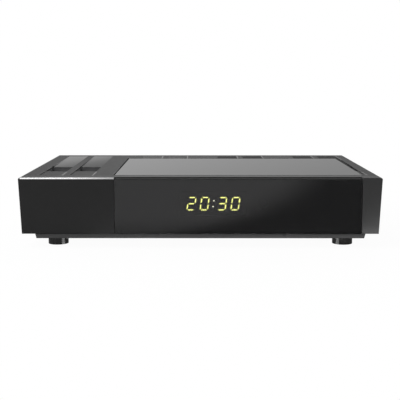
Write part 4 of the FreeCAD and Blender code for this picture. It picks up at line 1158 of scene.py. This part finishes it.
def floor_material():
    """A pale floor: white to the eye with a faint shadow, and graded where gloss mirrors it, a glow that paints
    reflections and highlights on the pieces that mirror it.
    """
    finish = new_finish("Pale floor", base_color=(0.86, 0.86, 0.86), roughness=0.9)
    seen = finish.node("LightPath", output="Is Camera Ray")
    mirrored = finish.node("LightPath", output="Is Glossy Ray")
    far = finish.node("VectorMath", {"operation": "LENGTH"}, {0: finish.place()}, output="Value")
    whiteness = far.fade(0.1, 0.3, 0.965, 1.0)
    white = finish.node("Emission", inputs={0: (1, 1, 1)})
    painted_reflections = finish.node("Emission", inputs={0: (1, 1, 1), 1: floor_grade(finish)})
    own = Wire(finish, finish.shader.outputs[0])
    to_eye = finish.node("MixShader", inputs={0: seen * whiteness, 1: own, 2: white})
    to_gloss = finish.node("MixShader", inputs={0: mirrored, 1: to_eye, 2: painted_reflections})
    finish.feed(finish.tree.nodes["Material Output"].inputs[0], to_gloss)
    return finish.owner


def surroundings():
    """A soft pale room, white to the eye and a little brighter on the left."""
    finish = Finish(bpy.data.worlds.new("Pale room"), {"Color": (1, 1, 1)})
    seen = finish.node("LightPath", output="Is Camera Ray")
    across = finish.axis("X", finish.node("TexCoord", output="Generated"))
    level = across.fade(-0.45, 0.45, 0.69, 0.33)
    finish.feed(finish.shader.inputs["Strength"], level + seen * (1 - level))
    return finish.owner


class RECEIVER_OT_stage(ReceiverOperator, bpy.types.Operator):
    """Set the floor, the surroundings, the lamps and the camera"""

    bl_idname = "receiver.stage"
    bl_label = "Stage"

    def execute(self, context):
        floor = primitive("plane", "floor", size=6, location=(0, 0, -0.00005))
        floor.data.materials.append(floor_material())
        context.scene.world = surroundings()
        area_lamp("key_lamp", (-0.7, -0.35, 0.9), (0, 0, 0), 0.9, 9.0)
        area_lamp("back_lamp", (0.05, 0.9, 0.7), (0, 0, 0.02), 0.8, 4.0)
        self.add_camera(context)
        context.scene.view_settings.view_transform = "Standard"
        return {"FINISHED"}

    def add_camera(self, context):
        """A long lens a little above the top, in front of the middle of the face."""
        tilt = 8.3
        pan = 0.135
        place = (1.04 * MM, FRONT - 508.2 * MM, 103.75 * MM)
        turn = (math.radians(90 - tilt), 0, math.radians(pan))
        bpy.ops.object.camera_add(location=place, rotation=turn)
        camera = context.object
        camera.data.lens = 76.5
        camera.data.sensor_width = 36
        context.scene.camera = camera


# The steps, in the order in which they stand above and run.
STEPS = ReceiverOperator.__subclasses__()


class RECEIVER_PT_panel(bpy.types.Panel):
    """Lists the steps and their sizes"""

    bl_idname = "RECEIVER_PT_panel"
    bl_label = "Receiver"
    bl_space_type = "VIEW_3D"
    bl_region_type = "UI"
    bl_category = "Receiver"

    def draw(self, context):
        layout = self.layout
        for group in (context.scene.receiver_sizes, context.scene.receiver_colours):
            column = layout.column(align=True)
            for name in group.__annotations__:
                column.prop(group, name)
        for step in STEPS:
            layout.operator(step.bl_idname)


CLASSES = (ReceiverSizes, ReceiverColours, *STEPS, RECEIVER_PT_panel)


def register():
    for kind in CLASSES:
        bpy.utils.register_class(kind)
    bpy.types.Scene.receiver_sizes = PointerProperty(type=ReceiverSizes)
    bpy.types.Scene.receiver_colours = PointerProperty(type=ReceiverColours)


def unregister():
    del bpy.types.Scene.receiver_sizes
    del bpy.types.Scene.receiver_colours
    for kind in reversed(CLASSES):
        bpy.utils.unregister_class(kind)


def main():
    """Run every step in order."""
    register()
    for step in STEPS:
        getattr(bpy.ops.receiver, step.bl_idname.split(".")[1])()


if __name__ == "__main__":
    main()
